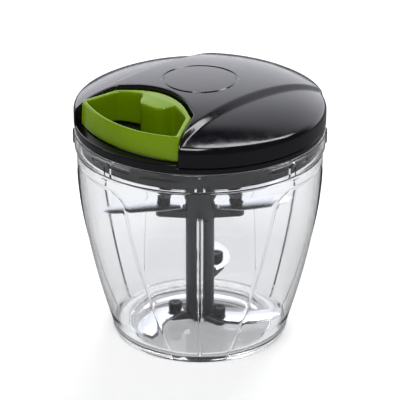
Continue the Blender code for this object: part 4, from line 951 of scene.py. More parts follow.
def crown_height(radius):
    """A flat crown that falls away faster towards the rim."""
    share = radius / LID_R
    return CROWN_Z - CROWN_FALL[0] * share ** 2 - CROWN_FALL[1] * share ** 5


def lid_profile(inset, drop, edge):
    """Samples (run, radius, z) from the crown to the foot; the run is measured along the disc."""
    shoulder = SHOULDER_R - inset
    join = LID_R - SHOULDER_R + shoulder * math.cos(SHOULDER_JOIN)
    centre_z = crown_height(join) - drop - shoulder * math.sin(SHOULDER_JOIN)
    samples = [(radius, radius, crown_height(radius) - drop)
               for radius in spread(0.0, join, SHOULDER_START)]
    for angle in numpy.linspace(SHOULDER_JOIN, 0.0, WALL_START - SHOULDER_START + 1):
        radius = LID_R - SHOULDER_R + shoulder * math.cos(angle)
        run = join + shoulder * (SHOULDER_JOIN - angle)
        samples.append((run, radius, centre_z + shoulder * math.sin(angle)))
    wall = samples[-1][0] + centre_z - COVER_FOOT - edge
    samples.append((wall, LID_R - inset, COVER_FOOT + edge))
    if edge > 0.0:
        samples.append((wall + 1.4 * edge, LID_R - inset - edge, COVER_FOOT))
    return numpy.array(samples)


def panel_lines(y):
    """Upper and lower edge of the slanted band beside the waist."""
    bow = (y - WAIST_Y) ** 2
    upper = WAIST_HALF + bow / WAIST_BOW
    return upper, upper + max(BAND_LEAST, BAND_WIDTH - bow / BAND_BOW)


def panel_share(x, y):
    """0 on the waist, 1 on a panel, and between them on the slanted band."""
    crest, foot = panel_lines(y)
    share = (abs(x) - crest) / (foot - crest)
    soft = PANEL_EDGE / (foot - crest)
    if share < soft:
        share = max(share + soft, 0.0) ** 2 / (4.0 * soft)
    if share > 1.0 - soft:
        share = 1.0 - max(1.0 + soft - share, 0.0) ** 2 / (4.0 * soft)
    return share


def at_run(samples, run):
    """Radius and height of the profile at a run along the disc."""
    return [float(numpy.interp(run, samples[:, 0], samples[:, column])) for column in (1, 2)]


def lid_point(samples, place, shaped):
    """Lift a place of the flat disc to the dome, with panels and ring if it is shaped."""
    run = math.hypot(*place)
    radius, z = at_run(samples, run)
    scale = radius / max(run, 1e-6)
    x, y = place[0] * scale, place[1] * scale
    if shaped:
        upper = min(1.0, max(0.0, (z - COVER_FOOT - PANEL_FADE[0]) / PANEL_FADE[1]))
        z -= PANEL_DROP * panel_share(x, y) * upper
        z -= RING_DEPTH * (1.0 - ease(abs(radius - RING_R), RING_FLAT, RING_EDGE))
    return Vector((x, y, z))


OUTER_SKIN = lid_profile(0.0, 0.0, 0.3)
INNER_SKIN = lid_profile(COVER_SHELL, COVER_SHELL + PANEL_DROP, 0.0)
print("lid: crown %.1f mm, disc %.1f mm" % (CROWN_Z, OUTER_SKIN[-1][0]))


# %% Lines in the disc
def ring_runs(samples, spacing):
    """Runs of the even rings that cover shoulder, wall and foot."""
    start, bend, end = (samples[row][0] for row in (SHOULDER_START, WALL_START, WALL_END))
    rings = list(numpy.linspace(start, bend, max(4, round((bend - start) / (0.6 * spacing))) + 1))
    rings += list(numpy.linspace(bend, end, round((end - bend) / spacing) + 1))[1:]
    return rings + [samples[-1][0]] if len(samples) > WALL_END + 1 else rings


def line_in_disc(samples, runs, line_x, side, back):
    """Points of the line x = line_x(y) in the disc, from the dome's edge down to its foot."""
    points = []
    for run in runs:
        radius = at_run(samples, run)[0]
        if radius > LID_R - 1e-6 or not points or run < samples[WALL_START][0] + 1e-6:
            y = back * 0.7 * radius
            for _ in range(30):
                y = back * math.sqrt(max(radius ** 2 - line_x(y) ** 2, 0.0))
            direction = (side * line_x(y) / radius, y / radius)
        points.append((direction[0] * run, direction[1] * run))
    return points


def panel_edges(samples, runs):
    """Lines that keep the panels' edges crisp."""
    lines = []
    upper_runs = [run for run in runs if run < samples[WALL_START][0] + 1e-6]
    for side in (-1.0, 1.0):
        for number in (0, 1):
            for offset in (-PANEL_EDGE, 0.0, PANEL_EDGE):
                def line_x(y, number=number, offset=offset):
                    return panel_lines(y)[number] + offset
                front = line_in_disc(samples, upper_runs, line_x, side, -1.0)[::-1]
                back = line_in_disc(samples, upper_runs, line_x, side, 1.0)
                heights = numpy.linspace(front[-1][1], back[0][1], 100)[1:-1]
                lines.append(front + [(side * line_x(y), y) for y in heights] + back)
    return lines


def pocket_edge(samples, runs, gap, back_gap):
    """Pocket outline in the disc, from its right foot round the back to its left foot."""
    top = side_meets(runs[0], 0.0, gap)[1]
    corner_y = HANDLE_CORNER[1] + back_gap
    side = [(side_x(y, gap), y) for y in numpy.linspace(top, corner_y - 4.0, 26)]

    def line_x(y):
        return side_x(y, gap)

    right = line_in_disc(samples, runs, line_x, 1.0, -1.0)[:0:-1] + side
    return round_path(right + fan_back(gap, back_gap) + [(-x, y) for x, y in reversed(right)], 8)


def shifted(path, distance):
    """Move an open path sideways, to the right of its direction."""
    moved = []
    for index, point in enumerate(path):
        ahead = Vector(path[min(index + 1, len(path) - 1)])
        way = (ahead - Vector(path[max(index - 1, 0)])).normalized()
        moved.append((point[0] + way.y * distance, point[1] - way.x * distance))
    for end in (0, -1):
        scale = math.hypot(*path[end]) / math.hypot(*moved[end])
        moved[end] = (moved[end][0] * scale, moved[end][1] * scale)
    return moved


def in_polygon(point, polygon):
    """Whether a point lies inside a polygon."""
    inside = False
    for first, second in zip(polygon, polygon[1:] + polygon[:1]):
        if (first[1] > point[1]) != (second[1] > point[1]):
            cut = first[0] + (second[0] - first[0]) * (point[1] - first[1]) / (second[1] - first[1])
            if point[0] < cut:
                inside = not inside
    return inside


# %% Skins of the lid
def even_places(runs, spacing):
    """Rings of points on shoulder and wall, and rows of points inside them."""
    columns = round(2.0 * math.pi * LID_R / spacing)
    places = [polar(run, 360.0 * column / columns) for run in runs for column in range(columns)]
    row_height = spacing * math.sqrt(0.75)
    rows = int(runs[0] / row_height)
    for row in range(-rows, rows + 1):
        for column in range(-rows - 1, rows + 2):
            place = (spacing * (column + 0.5 * (row % 2)), row * row_height)
            if math.hypot(*place) < runs[0] - 0.6 * spacing:
                places.append(place)
    return places


def disc_mesh(samples, opening, spacing, shaped):
    """Triangles of the disc outside the opening, as (points, triangles)."""
    runs = ring_runs(samples, spacing)
    lines = [opening]
    if shaped:
        lines += panel_edges(samples, runs)
        for offset in (-RING_EDGE, -RING_SLOPE, -RING_FLAT, RING_FLAT, RING_SLOPE, RING_EDGE):
            ring = [polar(RING_R + offset, azimuth) for azimuth in spread(0.0, 360.0, 120)]
            lines.append(ring + ring[:1])
    points = []
    edges = []
    for line in lines:
        first = len(points)
        edges += [(first + number, first + number + 1) for number in range(len(line) - 1)]
        points += line
    tree = kdtree.KDTree(len(points))
    for number, point in enumerate(points):
        tree.insert((*point, 0.0), number)
    tree.balance()
    hole = opening + [(x * 1.5, y * 1.5) for x, y in (opening[-1], opening[0])]
    for place in even_places(runs, spacing):
        near_line = tree.find((*place, 0.0))[2] < 0.5 * spacing
        if not near_line and (place[1] >= POCKET_START or not in_polygon(place, hole)):
            points.append(place)
    corners, _, triangles, *_ = geometry.delaunay_2d_cdt(
        [Vector(point) for point in points], edges, [], 0, 1e-5)
    kept = []
    for triangle in triangles:
        middle = sum((corners[number] for number in triangle), Vector((0.0, 0.0))) / 3.0
        if middle.y > POCKET_START or not in_polygon(middle, hole):
            kept.append(triangle)
    return corners, kept


def edge_frame(point, inner_path, outer_path):
    """Where along the inner path a point lies, and the place beside it on the outer path."""
    best = None
    for number in range(len(inner_path) - 1):
        start = Vector(inner_path[number])
        along = Vector(inner_path[number + 1]) - start
        share = min(max((Vector(point) - start).dot(along) / along.length_squared, 0.0), 1.0)
        distance = (start + along * share - Vector(point)).length
        if best is None or distance < best[0]:
            best = (distance, number, share)
    _, number, share = best
    return number + share, Vector(outer_path[number]).lerp(Vector(outer_path[number + 1]), share)


def opening_chain(samples, places, triangles, opening, corner_path):
    """Points along the opening's edge in order, as (order, number, place of the sharp corner)."""
    uses = {}
    for triangle in triangles:
        for first, second in zip(triangle, triangle[1:] + triangle[:1]):
            key = (min(first, second), max(first, second))
            uses[key] = uses.get(key, 0) + 1
    rim = samples[-1][0] - 0.02
    border = set()
    for (first, second), count in uses.items():
        on_rim = places[first].length > rim and places[second].length > rim
        if count == 1 and not on_rim:
            border.update((first, second))
    chain = []
    for number in border:
        order, corner = edge_frame(places[number], opening, corner_path)
        chain.append((order, number, corner))
    return sorted(chain)


def below_edge(samples, corner_path, order, corner, edge, shaped):
    """Point on the pocket's wall where the rounding of its edge ends."""
    here = lid_point(samples, corner, shaped)
    east = lid_point(samples, corner + Vector((0.05, 0.0)), shaped) - here
    north = lid_point(samples, corner + Vector((0.0, 0.05)), shaped) - here
    normal = east.cross(north).normalized()
    near = min(int(order), len(corner_path) - 2)
    start, end = (lid_point(samples, place, False) for place in corner_path[near:near + 2])
    way = end - start
    way.z = 0.0
    way.normalize()
    lean = (way * normal.dot(way) + Vector((0.0, 0.0, normal.z))).normalized()
    return here - lean * edge


def lid_skin(bm, samples, gap, back_gap, spacing, edge, shaped):
    """Add one skin of the lid, open only at its flat foot."""
    corner_path = pocket_edge(samples, ring_runs(samples, spacing), gap, back_gap)
    opening = shifted(corner_path, edge) if edge > 0.0 else corner_path
    places, triangles = disc_mesh(samples, opening, spacing, shaped)
    verts = [bm.verts.new(lid_point(samples, place, shaped)) for place in places]
    for triangle in triangles:
        bm.faces.new([verts[number] for number in triangle])
    side_way = Vector((SIDE_LEAN, -1.0)).normalized()
    wall_plan = Vector(side_meets(samples[WALL_END][1], 0.0, gap)) - side_way * edge
    steps = 4 if edge > 0.0 else 0
    rows = [[] for _ in range(steps + 1)]
    feet = []
    for order, number, corner in opening_chain(samples, places, triangles, opening, corner_path):
        sharp_point = lid_point(samples, corner, shaped)
        on_wall = corner.length > samples[WALL_START][0] - 1e-3
        if on_wall:
            low = Vector((math.copysign(wall_plan.x, corner.x), wall_plan.y, sharp_point.z))
        else:
            low = below_edge(samples, corner_path, order, corner, edge, shaped)
        top = verts[number]
        rows[0].append(top)
        for step in range(1, steps + 1):
            angle = math.pi / 2.0 * step / steps
            blend = (top.co - sharp_point) * (1.0 - math.sin(angle))
            blend += (low - sharp_point) * (1.0 - math.cos(angle))
            rows[step].append(bm.verts.new(sharp_point + blend))
        feet.append((on_wall, low))
    for high, low in zip(rows, rows[1:]):
        for index in range(len(high) - 1):
            bm.faces.new((high[index], high[index + 1], low[index + 1], low[index]))
    last = rows[-1]
    inner = [index for index, (on_wall, _) in enumerate(feet) if not on_wall]
    bottom = {index: bm.verts.new((*feet[index][1].xy, COVER_FOOT)) for index in inner}
    for index in inner[:-1]:
        bm.faces.new((last[index], last[index + 1], bottom[index + 1], bottom[index]))
    bm.faces.new(last[:inner[0] + 1] + [bottom[inner[0]]])
    bm.faces.new(last[inner[-1]:] + [bottom[inner[-1]]])


def build_cover():
    """Outer and inner skin, joined at the foot."""
    bm = bmesh.new()
    lid_skin(bm, OUTER_SKIN, POCKET_GAP, POCKET_BACK_GAP, OUTER_SPACING, POCKET_EDGE, True)
    lid_skin(bm, INNER_SKIN, POCKET_GAP + POCKET_WALL, POCKET_BACK_GAP + POCKET_WALL,
             INNER_SPACING, 0.0, False)
    rim = [edge for edge in bm.edges if edge.is_boundary]
    stray = [edge for edge in rim if max(vert.co.z for vert in edge.verts) > COVER_FOOT + 0.01]
    print("open edges at the lid's foot: %d, elsewhere: %d" % (len(rim), len(stray)))
    bmesh.ops.triangle_fill(bm, edges=rim, use_beauty=False, normal=(0.0, 0.0, -1.0))
    bmesh.ops.recalc_face_normals(bm, faces=bm.faces)
    print("open edges left: %d" % sum(1 for edge in bm.edges if edge.is_boundary))
    return make_object("domed_cover", bm, sharp=38.0)


keep(build_cover(), LID_GLOSS, "lid_body", "lid_cover", "lid_cover")

# %% [markdown]
# ## Copies that belong together
#
# Lugs, screws and caps repeat round an axis. A small Geometry Nodes tree does that: it takes the
# one piece that was modelled, sets copies of it on points with a turn each, and makes them real.
# The number, the step and the first azimuth are named inputs, so five lugs are as easy as four.

# %% Ring of copies
def new_tree(name, floats):
    """Geometry tree with named number inputs; returns the tree, its input and its output."""
    tree = bpy.data.node_groups.new(name, "GeometryNodeTree")
    tree.interface.new_socket("Geometry", in_out="INPUT", socket_type="NodeSocketGeometry")
    for label in floats:
        tree.interface.new_socket(label, in_out="INPUT", socket_type="NodeSocketFloat")
    tree.interface.new_socket("Geometry", in_out="OUTPUT", socket_type="NodeSocketGeometry")
    return tree, tree.nodes.new("NodeGroupInput"), tree.nodes.new("NodeGroupOutput")


def finish_tree(tree, realized, outlet, material):
    """Close a tree with Realize Instances and Set Material."""
    real = add_node(tree, "GeometryNodeRealizeInstances", {0: realized})
    painted = add_node(tree, "GeometryNodeSetMaterial", {0: real, "Material": material})
    link_value(tree, outlet.inputs[0], painted)


def run_tree(piece, tree, values):
    """Run a tree on a piece, bake the result into its mesh and take the modifier off."""
    modifier = piece.modifiers.new("copies", "NODES")
    modifier.node_group = tree
    for item in tree.interface.items_tree:
        if item.in_out == "INPUT" and item.name in values:
            modifier[item.identifier] = values[item.name]
    return settle(piece, modifier)


def ring_of(piece, count, step, first, material):
    """Repeat a piece round Z: count copies, step degrees apart from a first azimuth."""
    tree, source, outlet = new_tree("ring of " + piece.name, ("Count", "Step", "First"))
    points = add_node(tree, "GeometryNodePoints", {"Count": source.outputs["Count"]})
    number = add_node(tree, "GeometryNodeInputIndex")
    degrees = math_node(tree, "MULTIPLY_ADD", number, source.outputs["Step"],
                        source.outputs["First"])
    angle = math_node(tree, "RADIANS", degrees)
    turn_node = add_node(tree, "ShaderNodeCombineXYZ", {"Z": angle})
    copies = add_node(tree, "GeometryNodeInstanceOnPoints", {
        "Points": points, "Instance": source.outputs["Geometry"], "Rotation": turn_node})
    finish_tree(tree, copies, outlet, material)
    return run_tree(piece, tree, {"Count": float(count), "Step": step, "First": first})


print("ring of copies is ready")

# %% [markdown]
# ## The lid's lower half
#
# Under the cover sits a second moulding: a plate with a flange that rests on the seal, a skirt
# that centres the lid in the bowl, and four lugs that pass under the bowl's tabs when the lid is
# turned. In front it carries the ledge that the handle lies on, with a small pointer that shows
# the lock. It is a satin black. The seal between flange and rim is a soft grey ring.

# %% Lid base and seal
FLANGE_TOP = BOWL_HEIGHT + 3.4
FLANGE_R = LID_R - 0.6
SKIRT_R = BAND_R - BAND_WALL - TAB_REACH - 0.4
SKIRT_WALL = 2.0
SKIRT_BOTTOM = BOWL_HEIGHT - 9.7
PLATE_LOW = FLANGE_TOP - 2.2
HUB_R = 9.6
LEDGE_TOP = FLANGE_TOP + 1.7
LEDGE_R = LID_R - 0.4
LUG_HALF = 10.0            # degrees
LUG_FIRST = 26.0           # azimuth of the first lug
LUG_THICK = 2.3
SCREW_RING_R = LID_R - 21.5


def sector(name, inner_r, outer_r, low, high, half, edge):
    """Part of a ring about azimuth 0 with rounded upper and lower edges."""
    angles = numpy.linspace(-half, half, 17)
    outline = [polar(outer_r, angle) for angle in angles]
    outline += [polar(inner_r, angle) for angle in angles[::-1]]
    return make_object(name, prism([outline], edge_rows(low, high, edge)))


def build_base():
    """Turned base with the ledge and the pointer joined on."""
    skirt_in = SKIRT_R - SKIRT_WALL
    seal_out = SKIRT_R + 2.5
    profile = [(HUB_R, PLATE_LOW, 0.3), (skirt_in, PLATE_LOW, 1.0), (skirt_in, SKIRT_BOTTOM, 0.7),
               (SKIRT_R, SKIRT_BOTTOM, 0.7), (SKIRT_R, BOWL_HEIGHT + 2.2),
               (seal_out, BOWL_HEIGHT + 2.2), (seal_out, BOWL_HEIGHT + 0.4, 0.2),
               (FLANGE_R, BOWL_HEIGHT + 0.4, 0.5), (FLANGE_R, FLANGE_TOP, 0.5),
               (HUB_R, FLANGE_TOP, 0.3)]
    base = turned("lid_lower_half", profile, 288, 5)
    outline = fan(POCKET_GAP - 0.4, POCKET_BACK_GAP - 0.4, LEDGE_R, 0.0, 1.0)
    ledge = prism([outline], edge_rows(FLANGE_TOP - 1.0, LEDGE_TOP, 0.6))
    combine(base, "UNION", make_object("ledge", ledge))
    top = LEDGE_TOP - 0.1
    outline = round_path([(-5.4, top, 0.5), (0.0, top - 2.6, 0.5), (5.4, top, 0.5)], 5)
    pointer = prism([outline], edge_rows(0.0, 2.3, 0.35))
    placed(pointer, (0.0, 1.8 - LEDGE_R, 0.0), 90.0)
    return combine(base, "UNION", make_object("pointer", pointer))


base = build_base()
lug_low = TAB_BOTTOM - 0.4 - LUG_THICK
lug = sector("lugs", SKIRT_R - 0.8, SKIRT_R + 1.5, lug_low, lug_low + LUG_THICK, LUG_HALF, 0.3)
combine(base, "UNION", ring_of(lug, 4, 90.0, LUG_FIRST, BASE_BLACK))
keep(base, BASE_BLACK, "lid_body", "lid_base", "lid_base")

seal_low = BOWL_HEIGHT + 0.3
seal_in = SKIRT_R + 0.4
seal_profile = [(seal_in + across, seal_low + rise, radius) for across, rise, radius in (
    (0.0, 0.0, 0.4), (0.7, 0.0, 0.2), (0.9, 0.35, 0.1), (1.1, 0.0, 0.2), (1.8, 0.0, 0.4),
    (1.8, 1.6, 0.3), (0.0, 1.6, 0.3))]
keep(turned("seal", seal_profile, 216), RUBBER, "seal_body", "silicone", "seal_ring")

# %% [markdown]
# ## The pull handle
#
# The handle is one lime moulding. Its walls are thin, the front one leans back, and a boss that
# holds the cord's knot bulges into the finger opening. All its edges are rounded, because
# fingers pull on it hard. The outline and the opening are stacked in rows, the edge rows follow
# a quarter circle, and the whole is then leaned, the front the most.

# %% Make the handle
HANDLE_BOTTOM = LEDGE_TOP + 0.3
HANDLE_WALL = 2.6
HANDLE_FRONT_WALL = 2.0
HANDLE_EDGE = 0.97
HANDLE_HIGH = 18.9         # height at the back
TOP_SLOPE = 0.21           # how the top falls towards the front
FRONT_LEAN = 0.165
BOSS_HALF = 7.5
BOSS_ROOT = 11.5
KNOT_Y = HANDLE_BACK - 7.3
KNOT_R = 2.8
CORD_R = 0.8


def handle_top(point):
    """Top face of the handle, which falls towards the front."""
    return HANDLE_BOTTOM + HANDLE_HIGH + TOP_SLOPE * (point[1] - HANDLE_BACK)


def opening_back(x):
    """Back of the finger opening beside the boss."""
    return HANDLE_BACK - 4.6 - x * x / 100.0


def finger_opening():
    """Finger opening with the knot boss bulging into it, clockwise."""
    centre_y = HANDLE_FRONT + HANDLE_FRONT_R
    radius = HANDLE_FRONT_R - HANDLE_FRONT_WALL
    corner_x = side_x(HANDLE_CORNER[1], -HANDLE_WALL)
    front_x, front_y = side_meets(radius, centre_y, -HANDLE_WALL)
    right = [(BOSS_HALF, HANDLE_BACK - 13.1, 6.9), (BOSS_ROOT, opening_back(BOSS_ROOT), 4.0)]
    right += [(x, opening_back(x)) for x in numpy.linspace(BOSS_ROOT + 3.0, corner_x - 4.0, 5)]
    right += [(corner_x, opening_back(corner_x), 4.5), (front_x, front_y, 3.4)]
    left = [(-corner[0], *corner[1:]) for corner in reversed(right)]
    return round_path(right + front_bow(radius, centre_y, -HANDLE_WALL)[::-1] + left, 8)


def build_handle():
    """Ring handle with a recess for the knot and a bore for the cord."""
    outer = fan(0.0, 0.0, HANDLE_FRONT_R, HANDLE_FRONT + HANDLE_FRONT_R, 5.4)
    rows = edge_rows(HANDLE_BOTTOM, handle_top, HANDLE_EDGE, 5)
    wall_low, wall_high = (height for _, height in rows[5:7])
    between = [(0.0, lambda point, share=share: wall_low + (wall_high(point) - wall_low) * share)
               for share in (0.25, 0.5, 0.75)]
    rows[6:6] = between
    bm = prism([outer, finger_opening()], rows)
    reach = HANDLE_CORNER[1] - HANDLE_FRONT
    for vert in bm.verts:
        share = min(max((HANDLE_CORNER[1] - vert.co.y) / reach, 0.0), 1.0)
        vert.co.y += FRONT_LEAN * (vert.co.z - HANDLE_BOTTOM) * share ** 2
    handle = make_object("lime_handle", bm)
    recess = cylinder("recess", KNOT_R + 0.6, HANDLE_BOTTOM - 1.0, CORD_Z + KNOT_R + 1.2, 48,
                      shift=(0.0, KNOT_Y, 0.0))
    bore = cylinder("bore", CORD_R + 0.4, 0.0, 9.0, 24,
                    shift=(0.0, HANDLE_BACK + 1.0, CORD_Z), tilt=90.0)
    combine(handle, "DIFFERENCE", recess)
    return combine(handle, "DIFFERENCE", bore)


keep(build_handle(), LIME_GLOSS, "handle_body", "pull_handle", "pull_handle")
plug = cylinder("plug", KNOT_R + 0.3, HANDLE_BOTTOM + 0.2, HANDLE_BOTTOM + 1.8, 48, (0.4, 0.2),
                shift=(0.0, KNOT_Y, 0.0))
keep(plug, LIME_GLOSS, "handle_body", "knot_plug", "knot_plug")

# %% [markdown]
# ## Shafts, arms and posts
#
# The blades turn on a dark grey plastic shaft in two halves. The lower half stands on the bowl's
# steel pin and carries three arms. The upper half plugs onto it, carries two arms, and its head
# is driven by the lid. Each arm ends in a post for one blade. All of it is turned or drawn
# plastic with small radii, and the arms are joined on so that they grow out of the shaft.

# %% Blade table
SHAFT_R = 7.7
COLLAR_R = 8.1
SHAFT_BOTTOM = 5.0
SHAFT_SPLIT = 63.5
SPIGOT_R = 5.0
COLLAR_TOP = SKIRT_BOTTOM - 0.2
HEAD_TOP = SKIRT_BOTTOM + 10.2
POST_R = 2.2
BLADE_THICK = 1.2
Blade = namedtuple("Blade", "name arm_low arm_thick azimuth post_r tip_r sweep")
BLADES = (
    Blade("low_1", 5.3, 3.6, -30.0, 14.0, 44.9, 44.0),
    Blade("low_2", 5.3, 3.6, 92.0, 14.0, 44.9, 44.0),
    Blade("mid", 24.8, 4.2, 196.0, 19.0, 46.0, 40.0),
    Blade("top_1", 65.0, 4.6, -48.0, 19.5, 52.0, 12.0),
    Blade("top_2", 65.0, 4.6, 140.0, 19.5, 52.0, 12.0),
)


def blade_low(blade):
    """Underside of a blade that lies on its arm."""
    return blade.arm_low + blade.arm_thick + 0.3


def add_arm(shaft, hub_r, blade):
    """Arm with rounded edges and a post, joined to its shaft."""
    end = blade.post_r + 4.4
    outline = [(hub_r - 1.7, -4.5), (end, -3.6, 3.4), (end, 3.6, 3.4), (hub_r - 1.7, 4.5)]
    rows = edge_rows(blade.arm_low, blade.arm_low + blade.arm_thick, 0.5)
    arm = placed(prism([round_path(outline, 6)], rows), azimuth=blade.azimuth - 90.0)
    combine(shaft, "UNION", make_object("arm", arm))
    low = blade.arm_low + blade.arm_thick * 0.5
    top = blade_low(blade) + BLADE_THICK + 1.7
    post = cylinder("post", POST_R, low, top, 40, (0.0, 0.4), shift=(blade.post_r, 0.0, 0.0),
                    azimuth=blade.azimuth - 90.0)
    combine(shaft, "UNION", post)


def build_lower_shaft():
    """Hollow foot over the pin, spigot on top, three arms."""
    top = SHAFT_SPLIT - 0.15
    profile = [(0.0, 27.0), (2.4, 27.0), (2.4, 24.3), (4.5, 24.3), (4.5, 13.2), (5.3, 12.8),
               (5.3, SHAFT_BOTTOM, 0.2), (SHAFT_R, SHAFT_BOTTOM, 0.6), (SHAFT_R, top, 0.3),
               (SPIGOT_R, top), (SPIGOT_R, top + 6.0, 0.6), (0.0, top + 6.0)]
    shaft = turned("shaft_lower", profile, 96)
    for blade in BLADES[:3]:
        add_arm(shaft, SHAFT_R, blade)
    return shaft


def build_upper_shaft():
    """Collar over the spigot, two arms, and the head with its two drive tabs."""
    low = SHAFT_SPLIT + 0.15
    roof = SHAFT_SPLIT + 6.3
    profile = [(0.0, roof), (SPIGOT_R + 0.3, roof), (SPIGOT_R + 0.3, low, 0.2),
               (COLLAR_R, low, 0.5), (COLLAR_R, COLLAR_TOP, 0.6), (SPIGOT_R, COLLAR_TOP, 0.2),
               (SPIGOT_R, HEAD_TOP, 0.8), (0.0, HEAD_TOP)]
    shaft = turned("shaft_upper", profile, 96)
    for blade in BLADES[3:]:
        add_arm(shaft, COLLAR_R, blade)
    tab = sector("tabs", SPIGOT_R - 0.8, 7.0, COLLAR_TOP + 1.6, HEAD_TOP - 0.4, 15.0, 0.3)
    return combine(shaft, "UNION", ring_of(tab, 2, 180.0, 45.0, SHAFT_GREY))


keep(build_lower_shaft(), SHAFT_GREY, "blade_body", "shaft", "lower_shaft")
keep(build_upper_shaft(), SHAFT_GREY, "blade_body", "shaft", "upper_shaft")

# %% [markdown]
# ## Blades and caps
#
# The blades are stamped from thin stainless sheet into sickles, then ground along their edge, so
# a narrow bright bevel runs round each one. The bevel is one more row of the same stacked
# outline. A cap on each post holds its blade. One cap is modelled, and the tree for copies
# sets it on five points that are stored in a small mesh, one point per post.

# %% Make the blades
BLADE_ROOT = 9.4
BLADE_WIDTH = 14.0
BLADE_HOLE_R = 2.5
GROUND = 1.5               # width of the bevel


def blade_middle(radius, blade):
    """Point of a blade's middle line at a radius."""
    share = max(0.0, (radius - BLADE_ROOT) / (blade.tip_r - BLADE_ROOT))
    at_post = (blade.post_r - BLADE_ROOT) / (blade.tip_r - BLADE_ROOT)
    return Vector(polar(radius, blade.azimuth + blade.sweep * (share ** 1.3 - at_post ** 1.3)))


def sickle(blade):
    """Sickle outline, counter-clockwise, inside the circle that its tip sweeps."""
    left = []
    right = []
    for share in numpy.linspace(0.0, 1.0, 29):
        radius = BLADE_ROOT + (blade.tip_r - 1.5 - BLADE_ROOT) * share
        here = blade_middle(radius, blade)
        ahead = blade_middle(radius + 0.5, blade) - here
        normal = Vector((-ahead.y, ahead.x)).normalized()
        taper = math.sqrt(max(0.0, 1.0 - max(0.0, (share - 0.62) / 0.42) ** 2))
        half = BLADE_WIDTH / 2.0 * min(1.0, 0.62 + 1.3 * share) * taper
        left.append(here + normal * half)
        right.append(here - normal * half)
    loop = right + [blade_middle(blade.tip_r, blade)] + left[::-1]
    return [tuple(point * min(1.0, blade.tip_r / point.length)) for point in loop]


def build_blade(blade):
    """Sheet steel with a ground bevel and a hole for its post."""
    low = blade_low(blade)
    x, y = polar(blade.post_r, blade.azimuth)
    hole = [(x + BLADE_HOLE_R * math.cos(angle), y - BLADE_HOLE_R * math.sin(angle))
            for angle in numpy.linspace(0.0, 2 * math.pi, 41)[:-1]]
    rows = [(0.1, low), (0.0, low + 0.1), (0.0, low + 0.35), (GROUND, low + BLADE_THICK - 0.05),
            (GROUND + 0.15, low + BLADE_THICK)]
    sheet = make_object("steel_" + blade.name, prism([sickle(blade)], rows))
    cutter = make_object("hole", prism([hole[::-1]], [(0.0, low - 1.0), (0.0, low + 3.0)]))
    return combine(sheet, "DIFFERENCE", cutter)


for blade in BLADES:
    keep(build_blade(blade), BLADE_STEEL, "blade_body", "blade", "blade_" + blade.name)


# %% Caps on the posts
def copies_on_points(piece, places, material):
    """Set copies of a piece on the points of a mesh."""
    mesh = bpy.data.meshes.new("places")
    mesh.from_pydata([tuple(Vector(place) * MM) for place in places], [], [])
    spots = bpy.data.objects.new("places", mesh)
    tree, source, outlet = new_tree("copies of " + piece.name, ())
    tree.interface.new_socket("Places", in_out="INPUT", socket_type="NodeSocketObject")
    info = add_node(tree, "GeometryNodeObjectInfo", {"Object": source.outputs["Places"]})
    copies = add_node(tree, "GeometryNodeInstanceOnPoints", {
        "Points": info.outputs["Geometry"], "Instance": source.outputs["Geometry"]})
    finish_tree(tree, copies, outlet, material)
    run_tree(piece, tree, {"Places": spots})
    bpy.data.objects.remove(spots, do_unlink=True)
    return piece


cap_profile = [(0.0, 2.0), (2.5, 2.0), (2.5, 0.0, 0.2), (3.6, 0.0, 0.3), (3.6, 4.2, 0.7),
               (1.1, 4.2, 0.2), (0.8, 3.6, 0.2), (0.0, 3.6)]
cap = turned("caps", cap_profile, 56)
cap_places = [(*polar(blade.post_r, blade.azimuth), blade_low(blade) + BLADE_THICK + 0.3)
              for blade in BLADES]
copies_on_points(cap, cap_places, CAP_GREY)
keep(cap, CAP_GREY, "blade_body", "blade_cap", *["blade_cap_" + blade.name for blade in BLADES])

# %% [markdown]
# ## Cord, spool and spring
#
# Inside the lid a spool holds the wound cord, and a flat steel spring in a round cup winds it back.
# The cord leaves the spool, passes a small steel eyelet in the pocket's wall and ends in a knot
# inside the handle's boss. When the handle is pulled, the stretch between eyelet and knot grows.
# Spring and winding are spirals, and Geometry Nodes draws both: a spiral curve that carries a
# flat strip or a round cord. Their sizes are inputs of the tree.

# %% Spiral tree
SPOOL_LOW = FLANGE_TOP + 6.5
SPOOL_TOP = SPOOL_LOW + 9.2
SPOOL_R = 19.0
DRUM_R = 13.5
SLEEVE_R = 9.2
SLEEVE_BOTTOM = SKIRT_BOTTOM + 1.0
SOCKET_TOP = SLEEVE_BOTTOM + 9.8
CUP_R = 18.8


def spiral(name, sizes, lift, flat, material):
    """Spiral of a flat strip or a round cord, from turns and sizes in millimetres."""
    tree, source, outlet = new_tree("spiral of " + name, sizes)
    path = add_node(tree, "GeometryNodeCurveSpiral", {
        "Resolution": 72, "Rotations": source.outputs["Turns"],
        "Start Radius": source.outputs["Inner"], "End Radius": source.outputs["Outer"],
        "Height": source.outputs["Rise"]})
    if flat:
        section = add_node(tree, "GeometryNodeCurvePrimitiveQuadrilateral", {
            "Width": source.outputs["Width"], "Height": source.outputs["Height"]})
    else:
        section = add_node(tree, "GeometryNodeCurvePrimitiveCircle", {
            "Resolution": 12, "Radius": source.outputs["Width"]})
    upright = add_node(tree, "GeometryNodeSetCurveNormal", {0: path}, mode="Z_UP")
    swept = add_node(tree, "GeometryNodeCurveToMesh", {
        "Curve": upright, "Profile Curve": section, "Fill Caps": True})
    lifted = add_node(tree, "GeometryNodeTransform",
                      {0: swept, "Translation": (0.0, 0.0, lift * MM)})
    finish_tree(tree, lifted, outlet, material)
    piece = bpy.data.objects.new(name, bpy.data.meshes.new(name))
    scene.collection.objects.link(piece)
    run_tree(piece, tree, {label: value if label == "Turns" else value * MM
                           for label, value in sizes.items()})
    bm = bmesh.new()
    bm.from_mesh(piece.data)
    bmesh.ops.recalc_face_normals(bm, faces=bm.faces)
    bm.to_mesh(piece.data)
    bm.free()
    return piece


